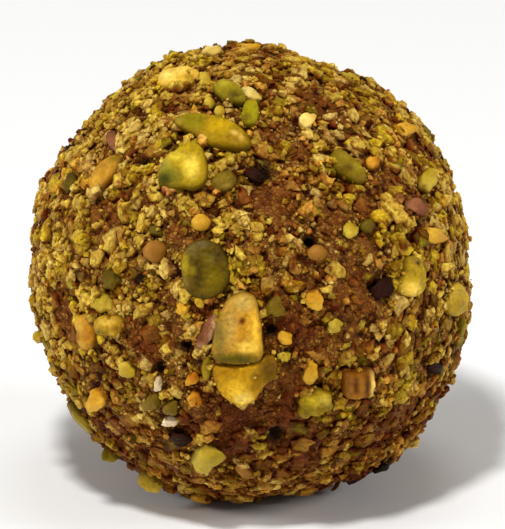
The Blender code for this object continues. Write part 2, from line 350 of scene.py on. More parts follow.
def extrudeSlab(outline, rings, levels, strayRng=None, stray=0):
    # an outline drawn up ring by ring, so that it rounds off towards its top
    shape = startShape(bpy.ops.mesh.primitive_circle_add, vertices=len(outline), radius=1, fill_type="NGON")
    for vertex, (x, y) in zip(shape.data.vertices, outline):
        vertex.co = (x, y, 0)
    bpy.ops.object.mode_set(mode="EDIT")
    bpy.ops.mesh.select_all(action="SELECT")
    for rise, shrink in rings:
        bpy.ops.mesh.extrude_region_move(TRANSFORM_OT_translate={"value": (0, 0, rise)})
        bpy.ops.transform.resize(value=(shrink, shrink, 1), center_override=(0, 0, 0))
    bpy.ops.mesh.select_all(action="SELECT")
    bpy.ops.mesh.normals_make_consistent(inside=False)
    if stray:
        bpy.ops.transform.vertex_random(offset=stray, uniform=0.8, normal=0, seed=strayRng.randrange(1, 9000))
    bpy.ops.object.mode_set(mode="OBJECT")
    if levels:
        soften = shape.modifiers.new("soften", "SUBSURF")
        soften.levels = soften.render_levels = levels
    cutInTriangles(shape)
    return shape


def sculpt(shape, swells, offset):
    # uneven swelling along the normals
    for waves, depth in swells:
        normals = [vertex.normal.copy() for vertex in shape.data.vertices]
        for vertex, normal in zip(shape.data.vertices, normals):
            vertex.co += normal * depth * noise.noise(vertex.co * waves + offset)


def modelPiece(kind, rng):
    look = looks[kind]
    count = rng.randint(*look["corners"])
    outline = []
    for index in range(count):
        angle = math.tau * (index + rng.uniform(-0.3, 0.3)) / count
        reach = rng.uniform(*look["reach"])
        outline.append((reach * math.cos(angle), reach * math.sin(angle)))
    if look["splits"] > 1:
        outline = splitSides(outline, look["splits"], 0.07, rng)
    shape = extrudeSlab(outline, look["rings"], look["levels"], rng, look["stray"])
    sculpt(shape, look["swells"], boxVector(rng, noiseReach))
    return takeArrays(shape)


def modelSeed(rng):
    shape = startShape(
        bpy.ops.mesh.primitive_ico_sphere_add, subdivisions=seedLook["subdivisions"], radius=1
    )
    sculpt(shape, seedLook["swells"], boxVector(rng, noiseReach))
    return takeArrays(shape)


def modelFlake(rng):
    # a curled scrap of the kernel's own skin
    along, aside = flakeLook["cells"]
    shape = startShape(bpy.ops.mesh.primitive_grid_add, x_subdivisions=along, y_subdivisions=aside, size=2)
    curl = rng.uniform(*flakeLook["curl"])
    offset = boxVector(rng, noiseReach)
    raggedWaves, raggedDepth = flakeLook["ragged"]
    warpWaves, warpDepth = flakeLook["warp"]
    for vertex in shape.data.vertices:
        x, y = vertex.co.x, vertex.co.y
        rounder = math.sqrt(max(1 - 0.25 * (x * x + y * y) - 0.25 * x * x * y * y, 0.2))
        ragged = rounder * (1 + raggedDepth * noise.noise(vertex.co * raggedWaves + offset))
        z = curl * (1 - x * x) + warpDepth * noise.noise(vertex.co * warpWaves + offset) - 0.1
        vertex.co = (x * ragged, y * ragged, z)
    wall = shape.modifiers.new("wall", "SOLIDIFY")
    wall.thickness = flakeLook["thickness"]
    wall.offset = 0
    cutInTriangles(shape)
    return takeArrays(shape)


def takeArrays(shape, even=True):
    # keeps a prototype as arrays, filling the cube from -1 to 1, and clears the object away
    mesh = shape.data
    points = np.empty(len(mesh.vertices) * 3)
    mesh.vertices.foreach_get("co", points)
    corners = np.empty(len(mesh.polygons) * 3, dtype=np.int32)
    mesh.polygons.foreach_get("vertices", corners)
    bpy.data.objects.remove(shape)
    bpy.data.meshes.remove(mesh)
    points = points.reshape(-1, 3)
    if even:
        low, high = points.min(axis=0), points.max(axis=0)
        points = (points - (low + high) / 2) / ((high - low) / 2)
    return points, corners.reshape(-1, 3)


variety = {  # how many shapes there are of each kind
    "kernel": 7, "sliver": 6, "chunk": 18, "seed": 4, "skin": 6,
    "coarse": 26, "medium": 30, "fine": 24, "dust": 14,
}
ownModels = {"seed": modelSeed, "skin": modelFlake}
shapeRng = random.Random(11)
shapes = {}
for kind, count in variety.items():
    if kind in ownModels:
        shapes[kind] = [ownModels[kind](shapeRng) for _ in range(count)]
    else:
        shapes[kind] = [modelPiece(kind, shapeRng) for _ in range(count)]
    mean = sum(len(corners) for _, corners in shapes[kind]) // count
    print(f"{kind}: {count} shapes, {mean} triangles each")


def smooth(value):
    value = np.clip(value, 0, 1)
    return value * value * (3 - 2 * value)


def blend(first, second, share):
    return first * (1 - share) + second * share


# how far up its sides a piece takes its third colour, the painted shade low on its sides, from -1 to 1
edgeShade = {
    "kernel": 0.45, "sliver": 0.45, "chunk": 0.45, "seed": 0.2, "skin": 0.3,
    "coarse": 0.7, "medium": 0.65, "fine": 0.6, "dust": 0.4,
}


def placeCopies(kind, copies):
    # copies: (shape number, middle, three half axes, three colours), to finished points, corners and tints
    forms = []
    for number, (points, corners) in enumerate(shapes[kind]):
        own = [copy for copy in copies if copy[0] == number]
        if not own:
            continue
        middles = np.array([copy[1] for copy in own])
        axes = np.array([copy[2] for copy in own])
        colours = np.array([copy[3] for copy in own])
        placed = points @ axes + middles[:, None, :]
        along = smooth(points[:, 0] * 0.75 + 0.5)[None, :, None]
        # low on its sides it takes the third colour: painted shade
        low = smooth((edgeShade[kind] - points[:, 2]) * 1.3)[None, :, None]
        tint = blend(colours[:, None, 0], colours[:, None, 1], along)
        tint = blend(tint, colours[:, None, 2], low)
        starts = np.arange(len(own)) * len(points)
        allCorners = (corners[None] + starts[:, None, None]).reshape(-1, 3)
        forms.append((placed.reshape(-1, 3), allCorners, tint.reshape(-1, 3)))
    return forms


def joinForms(name, forms, material, chopped=None):
    lowest = 0.02 * mm
    starts = np.cumsum([0] + [len(points) for points, _, _ in forms])
    points = np.concatenate([form[0] for form in forms])
    points[:, 2] = np.maximum(points[:, 2], lowest)
    corners = np.concatenate([form[1] + start for form, start in zip(forms, starts)])
    tints = np.concatenate([form[2] for form in forms])
    piece = meshFrom(name, points, corners, material)
    attribute = piece.data.color_attributes.new(name="tint", type="FLOAT_COLOR", domain="POINT")
    attribute.data.foreach_set("color", np.hstack([tints, np.ones((len(tints), 1))]).ravel())
    if chopped:
        piece.data.set_sharp_from_angle(angle=math.radians(chopped))
    print(f"{name}: {len(piece.data.polygons)} triangles")
    return piece


def meshFrom(name, points, corners, material):
    mesh = bpy.data.meshes.new(name)
    mesh.vertices.add(len(points))
    mesh.vertices.foreach_set("co", points.ravel())
    mesh.loops.add(corners.size)
    mesh.polygons.add(len(corners))
    mesh.polygons.foreach_set("loop_start", np.arange(0, corners.size, 3))
    mesh.polygons.foreach_set("vertices", corners.ravel())
    mesh.update(calc_edges=True)
    mesh.shade_smooth()
    mesh.materials.append(material)
    piece = bpy.data.objects.new(name, mesh)
    bpy.context.scene.collection.objects.link(piece)
    return piece


def fillInputs(tree, node, inputs):
    # each is a value, a colour, or the output of another node
    for socket, value in inputs.items():
        if isinstance(value, bpy.types.NodeSocket):
            tree.links.new(value, node.inputs[socket])
        elif node.inputs[socket].type == "RGBA":
            node.inputs[socket].default_value = (*value, 1)
        else:
            node.inputs[socket].default_value = value


def addNode(tree, kind, place, inputs=None, **settings):
    node = tree.nodes.new(kind if kind.startswith("Node") else f"ShaderNode{kind}")
    node.location = place
    for key, value in settings.items():
        setattr(node, key, value)
    fillInputs(tree, node, inputs or {})
    return node


def mapRange(tree, place, value, source, target=(0, 1), **settings):
    inputs = {"Value": value, "From Min": source[0], "From Max": source[1]}
    inputs.update({"To Min": target[0], "To Max": target[1]})
    return addNode(tree, "MapRange", place, inputs, **settings).outputs["Result"]


def mix(tree, place, share, first, second, mode="MIX", data="RGBA"):
    inputs = {"Factor": share, "A": first, "B": second}
    return addNode(tree, "Mix", place, inputs, data_type=data, blend_type=mode).outputs["Result"]


def calculate(tree, place, operation, *values, **settings):
    inputs = dict(enumerate(values))
    return addNode(tree, "Math", place, inputs, operation=operation, **settings).outputs["Value"]


def vectorMath(tree, place, operation, inputs):
    return addNode(tree, "VectorMath", place, inputs, operation=operation).outputs["Vector"]


def objectPlace(tree, place):
    return addNode(tree, "TexCoord", place).outputs["Object"]


def newGroup(name, inputs, outputs):
    # inputs: label to kind and value; outputs: label to kind
    group = bpy.data.node_groups.new(name, "ShaderNodeTree")
    for label, (kind, value) in inputs.items():
        socket = group.interface.new_socket(name=label, in_out="INPUT", socket_type=f"NodeSocket{kind}")
        socket.default_value = value
    for label, kind in outputs.items():
        group.interface.new_socket(name=label, in_out="OUTPUT", socket_type=f"NodeSocket{kind}")
    start = addNode(group, "NodeGroupInput", (-900, 0))
    return group, start.outputs, addNode(group, "NodeGroupOutput", (700, 0))


mottleLook = {"range": (0.32, 0.68), "darker": (0.5, 0.36, 0.22), "lighter": (1.2, 1.22, 1.0)}


def makeMottleGroup():
    # blotches of darker and lighter colour, as on chopped nuts
    group, start, end = newGroup(
        "mottle",
        {"Color": ("Color", (0.5, 0.5, 0.5, 1)), "Scale": ("Float", 900.0), "Amount": ("Float", 0.5)},
        {"Color": "Color", "Mask": "Float"},
    )
    place = objectPlace(group, (-900, -300))
    blotches = {"Vector": place, "Scale": start["Scale"], "Detail": 5, "Roughness": 0.62}
    blotch = addNode(group, "TexNoise", (-600, -200), blotches)
    mask = mapRange(group, (-380, -200), blotch.outputs["Fac"], mottleLook["range"])
    darker = mix(group, (-150, 150), 1, start["Color"], mottleLook["darker"], "MULTIPLY")
    lighter = mix(group, (-150, -50), 1, start["Color"], mottleLook["lighter"], "MULTIPLY")
    blotched = mix(group, (80, 50), mask, darker, lighter)
    colour = mix(group, (300, 50), start["Amount"], start["Color"], blotched)
    fillInputs(group, end, {"Color": colour, "Mask": mask})
    return group


def makeGrainGroup():
    # fine mealy roughness: lumps from cells, and grit from noise
    group, start, end = newGroup(
        "mealyGrain",
        {"Scale": ("Float", 4000.0), "Strength": ("Float", 0.5), "Distance": ("Float", 0.0001)},
        {"Normal": "Vector", "Height": "Float"},
    )
    spread = {"Vector": objectPlace(group, (-900, -300)), "Scale": start["Scale"]}
    cells = addNode(group, "TexVoronoi", (-600, 100), {**spread, "Smoothness": 0.6}, feature="SMOOTH_F1")
    grit = addNode(group, "TexNoise", (-600, -200), {**spread, "Detail": 6, "Roughness": 0.7})
    height = calculate(group, (-300, 0), "SUBTRACT", grit.outputs["Fac"], cells.outputs["Distance"])
    inputs = {"Height": height, "Strength": start["Strength"], "Distance": start["Distance"]}
    bump = addNode(group, "Bump", (200, 0), inputs)
    fillInputs(group, end, {"Normal": bump.outputs["Normal"], "Height": height})
    return group


mosaicLook = {
    "wander": (1.6, 3),  # scale and detail of the noise that makes the crumbs ragged
    "darkest": (0.55, 0.4, 0.27), "brightest": (1.25, 1.27, 1.25),
    # the gap colour is painted shade between the crumbs
    "gap": srgb(78, 9, 1), "gapWidth": 0.16,
}


def makeMosaicGroup():
    # crumbs pressed side by side, each of its own tone, with dark gaps between them painted as shade
    group, start, end = newGroup(
        "crumbMosaic",
        {"Scale": ("Float", 1100.0), "Brownness": ("Float", 0.0), "Raggedness": ("Float", 0.55)},
        {"Color": "Color", "Height": "Float"},
    )
    place = objectPlace(group, (-1500, -300))
    scaled = vectorMath(group, (-1300, -200), "SCALE", {0: place, "Scale": start["Scale"]})
    waves, detail = mosaicLook["wander"]
    wander = addNode(group, "TexNoise", (-1100, -400), {"Vector": scaled, "Scale": waves, "Detail": detail})
    middle = vectorMath(group, (-900, -400), "SUBTRACT", {0: wander.outputs["Color"], 1: (0.5, 0.5, 0.5)})
    pushed = vectorMath(group, (-740, -400), "SCALE", {0: middle, "Scale": start["Raggedness"]})
    ragged = vectorMath(group, (-600, -250), "ADD", {0: scaled, 1: pushed})
    crumbs, edges = [
        addNode(group, "TexVoronoi", place, {"Vector": ragged, "Scale": 1}, feature=feature)
        for place, feature in (((-450, 100), "F1"), ((-450, -250), "DISTANCE_TO_EDGE"))
    ]
    chance = addNode(group, "SeparateColor", (-260, 100), {"Color": crumbs.outputs["Color"]}).outputs
    browner = calculate(group, (-100, 200), "ADD", chance["Red"], start["Brownness"], use_clamp=True)
    tone = addNode(group, "ValToRGB", (60, 250), {"Fac": browner})
    ramp = tone.color_ramp
    ramp.interpolation = "CONSTANT"
    share = 0
    for index, (colour, left, right) in enumerate(crumbTones.values()):
        stop = ramp.elements[0] if index == 0 else ramp.elements.new(share)
        stop.position, stop.color = share, (*srgb(*colour), 1)
        share += (left + right) / 2
    ramp.elements.remove(ramp.elements[-1])
    bright = mix(group, (60, 0), chance["Green"], mosaicLook["darkest"], mosaicLook["brightest"])
    distance, gapWidth = edges.outputs["Distance"], mosaicLook["gapWidth"]
    raised = mapRange(group, (-260, -250), distance, (0, gapWidth), interpolation_type="SMOOTHSTEP")
    lit = vectorMath(group, (340, 150), "MULTIPLY", {0: tone.outputs["Color"], 1: bright})
    # painted shade in the gaps between the crumbs
    colour = mix(group, (500, 50), raised, mosaicLook["gap"], lit)
    fillInputs(group, end, {"Color": colour, "Height": raised})
    return group


mottleGroup = makeMottleGroup()
grainGroup = makeGrainGroup()
mosaicGroup = makeMosaicGroup()

finishes = {
    # roughness range, blotch scale and amount, grain scale, strength and depth, how dark the painted shade in
    # its grain's pits is, scattering, gloss
    "pistachioFlesh": dict(rough=(0.35, 0.6), blotch=(1500, 0.28), grain=(2600, 0.45, 0.00014), pitShading=0.12,
                           glow=0.3, gloss=0.16),
    "nutCrumb": dict(rough=(0.4, 0.75), blotch=(1900, 0.9), grain=(3400, 0.6, 0.0002), pitShading=0.6,
                     glow=0.2, gloss=0.12),
    "nutSkin": dict(rough=(0.3, 0.6), blotch=(1200, 0.5), grain=(3000, 0.6, 0.0002), pitShading=0.3,
                    glow=0.02, gloss=0.12),
    "roundGrain": dict(rough=(0.4, 0.6), blotch=(900, 0.35), grain=(3200, 0.25, 0.0001), pitShading=0.15,
                       glow=0.15, gloss=0.2),
    "pasteCrumb": dict(rough=(0.4, 0.75), blotch=(1900, 0.9), grain=(3400, 0.6, 0.0002), pitShading=0.5,
                       glow=0.2, gloss=0.15),
}
nutLook = {
    # painted shade in the grain's low spots: the levels over which it fades, and its tint
    "pitLevels": (-0.35, 0.15), "pitShadeTint": (0.4, 0.2, 0.08),
    "glow": ((1.0, 0.5, 0.15), 0.3 * mm),  # how far red, green and blue scatter, and the scale of that
}
glossTint = (1.0, 0.78, 0.4)  # oily surfaces reflect a little warm


def newMaterial(name):
    material = bpy.data.materials.new(name)
    material.use_nodes = True
    return material, material.node_tree, material.node_tree.nodes["Principled BSDF"]


def oilySurface(gloss, weight, radius, scale):
    return {
        "Specular IOR Level": gloss, "Specular Tint": glossTint, "Subsurface Weight": weight,
        "Subsurface Radius": radius, "Subsurface Scale": scale,
    }


def makeNutMaterial(name):
    finish = finishes[name]
    material, tree, shader = newMaterial(name)
    tint = addNode(tree, "VertexColor", (-900, 200), layer_name="tint").outputs["Color"]
    blotches = {"Color": tint, "Scale": finish["blotch"][0], "Amount": finish["blotch"][1]}
    mottle = addNode(tree, "Group", (-600, 200), blotches, node_tree=mottleGroup)
    grains = dict(zip(("Scale", "Strength", "Distance"), finish["grain"]))
    grain = addNode(tree, "Group", (-600, -300), grains, node_tree=grainGroup)
    # painted shade: the grain's low spots are darkened
    pitShadeMask = mapRange(tree, (-400, 450), grain.outputs["Height"], nutLook["pitLevels"], (finish["pitShading"], 0))
    pitShading = mix(tree, (-200, 350), pitShadeMask, mottle.outputs["Color"], nutLook["pitShadeTint"], "MULTIPLY")
    rough = mapRange(tree, (-300, 0), mottle.outputs["Mask"], (0, 1), finish["rough"])
    fillInputs(tree, shader, {"Base Color": pitShading, "Roughness": rough, "Normal": grain.outputs["Normal"]})
    fillInputs(tree, shader, oilySurface(finish["gloss"], finish["glow"], *nutLook["glow"]))
    return material


pasteLook = {
    # place on the ramp and colour: darkest, lightest, then between
    "tones": ((0.30, srgb(92, 28, 10)), (0.72, srgb(184, 124, 58)), (0.5, srgb(146, 80, 28))),
    # painted shade: the colours of the paste's hollows and of its pits
    "hollowShade": srgb(58, 5, 0),
    "pit": srgb(20, 5, 4),
    "moist": (0.62, 0.36, 0.26),  # what moist paste multiplies its colour by
    "fibres": {"Scale": 700, "Detail": 7, "Roughness": 0.65, "Distortion": 1.2},  # of the dates
    "crumbs": (1150, 2500),  # large and small ones per metre
    "patches": (420, (0.48, 0.54)),  # noise scale and levels at which the small ones take over
    "bareBrownness": 0.55,  # how much browner the crumbs of a bare patch are
    # how much browner they get over a range of metres across and of height
    "sides": (("X", (-0.02, 0.02), (-0.1, 0.1)), ("Z", (0.018, 0.002), (0.0, 0.22))),
    "share": (0.5, 0.7),  # how much of the paste's own colour shows, under the crumbs and in a bare patch
    "rough": (0.4, 0.7),
    "grain": (3600, 0.35),  # scale, and share in the height
    "bump": {"Strength": 0.9, "Distance": 0.14 * mm},
    "surface": (0.2, 0.05, (1.0, 0.45, 0.2), 0.4 * mm),
}


def makePasteMaterial():
    material, tree, shader = newMaterial("datePaste")
    place = objectPlace(tree, (-1800, 0))
    bare, moist, hollowShade, pit = [
        addNode(tree, "Attribute", (-1800, -300 - 200 * index), attribute_name=name).outputs["Fac"]
        for index, name in enumerate(("bare", "moist", "hollowShade", "pit"))
    ]
    fibres = addNode(tree, "TexNoise", (-1100, 400), {"Vector": place, **pasteLook["fibres"]}).outputs["Fac"]
    colours = addNode(tree, "ValToRGB", (-800, 400), {"Fac": fibres})
    stops = colours.color_ramp.elements
    for index, (position, colour) in enumerate(pasteLook["tones"]):
        stop = stops[index] if index < 2 else stops.new(position)
        stop.position, stop.color = position, (*colour, 1)
    # browner in the bare patches, on the right and underneath
    apart = addNode(tree, "SeparateXYZ", (-1600, 0), {"Vector": place}).outputs
    right, below = [
        mapRange(tree, (-1450, 100 - 250 * index), apart[axis], source, target)
        for index, (axis, source, target) in enumerate(pasteLook["sides"])
    ]
    sides = calculate(tree, (-1280, 0), "ADD", right, below)
    browner = calculate(tree, (-1280, -250), "MULTIPLY_ADD", bare, pasteLook["bareBrownness"], sides)
    mosaics = []
    for top, scale in zip((100, -150), pasteLook["crumbs"]):
        inputs = {"Scale": scale, "Brownness": browner}
        mosaics.append(addNode(tree, "Group", (-1050, top), inputs, node_tree=mosaicGroup).outputs)
    large, small = mosaics
    scale, levels = pasteLook["patches"]
    patches = addNode(tree, "TexNoise", (-1050, -400), {"Vector": place, "Scale": scale})
    patched = calculate(tree, (-850, -400), "ADD", patches.outputs["Fac"], bare)
    smaller = mapRange(tree, (-700, -400), patched, levels)
    crumbs = mix(tree, (-600, 100), smaller, large["Color"], small["Color"])
    relief = mix(tree, (-600, -150), smaller, large["Height"], small["Height"], data="FLOAT")
    share = mapRange(tree, (-600, 300), bare, (0, 1), pasteLook["share"])
    colour = mix(tree, (-400, 200), share, crumbs, colours.outputs["Color"])
    colour = mix(tree, (-330, 300), moist, colour, pasteLook["moist"], "MULTIPLY")
    # painted shade in the hollows and the pits
    for index, (mask, name) in enumerate(((hollowShade, "hollowShade"), (pit, "pit"))):
        colour = mix(tree, (-200 + 120 * index, 300), mask, colour, pasteLook[name])
    scale, weight = pasteLook["grain"]
    grain = addNode(tree, "Group", (-600, -550), {"Scale": scale}, node_tree=grainGroup).outputs["Height"]
    height = calculate(tree, (-400, -300), "MULTIPLY_ADD", grain, weight, relief)
    bump = addNode(tree, "Bump", (-200, -300), {"Height": height, **pasteLook["bump"]})
    rough = mapRange(tree, (-300, 50), fibres, (0, 1), pasteLook["rough"])
    fillInputs(tree, shader, {"Base Color": colour, "Roughness": rough, "Normal": bump.outputs["Normal"]})
    fillInputs(tree, shader, oilySurface(*pasteLook["surface"]))
    return material


materials = {name: makeNutMaterial(name) for name in finishes}
materials["datePaste"] = makePasteMaterial()
print("materials ready")

# the paste is a cube cut fine and blown up to the form of the ball
paste = {"cuts": 31, "levels": 2}  # 32 cells a side, then split in four twice


def makePaste():
    piece = startShape(bpy.ops.mesh.primitive_cube_add, size=2)
    piece.name = piece.data.name = "datePaste"
    bpy.ops.object.mode_set(mode="EDIT")
    bpy.ops.mesh.select_all(action="SELECT")
    bpy.ops.mesh.subdivide(number_cuts=paste["cuts"])
    bpy.ops.object.mode_set(mode="OBJECT")
    finer = piece.modifiers.new("finer", "SUBSURF")
    finer.subdivision_type = "SIMPLE"
    finer.levels = finer.render_levels = paste["levels"]
    applyModifiers(piece)
    mesh = piece.data
    masks = {"hollowShade": [], "bare": [], "pit": [], "moist": []}
    for vertex in mesh.vertices:
        even = Vector([math.tan(part * math.pi / 4) for part in vertex.co])
        direction = even.normalized()
        spot = centre + direction * pasteRadius(direction)
        vertex.co = (spot.x, spot.y, max(spot.z, 0))
        bare, pit = bareAt(direction), pitAt(direction)
        # painted shade: the hollow mask darkens the gaps between pressed crumbs, the clods' dips and the
        # pits, and the pit mask the pits
        gap = 0.7 * (1 - crumbRelief(direction)) ** 2 * (1 - 0.6 * bare)
        clodGap = (-3.2 * noise.noise(direction * pasteRelief["clods"][0]) - 0.22) * (1 - bare)
        masks["hollowShade"].append(min(max(pit, gap, clodGap), 1))
        masks["bare"].append(bare)
        masks["pit"].append(min(pit * 1.5, 1))
        masks["moist"].append(moistAt(direction))
    for name, values in masks.items():
        mesh.attributes.new(name=name, type="FLOAT", domain="POINT").data.foreach_set("value", values)
    mesh.shade_smooth()
    mesh.materials.append(materials["datePaste"])
    print(f"datePaste: {len(mesh.polygons)} faces")
    return piece


datePaste = makePaste()
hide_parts("protein_ball")

# how high each kind stands, as a share of its length or width
heights = {"kernel": 0.22, "sliver": 0.30, "chunk": 0.32, "seed": 0.40, "skin": 0.24}
pieceSeat = {
    "least": 0.35 * mm, "most": 0.95 * mm,  # height over the paste
    "root": 0.65 * mm,  # how deep it is sunk
    "fullness": 1.7,  # least thickness as a share of the height
    "skin": 0.9 * mm,
    "steepest": 0.55,  # pieces nearer the ball's edge are drawn out no more than this
    "brightness": (0.92, 1.06), "tint": (0.96, 1.04),
}

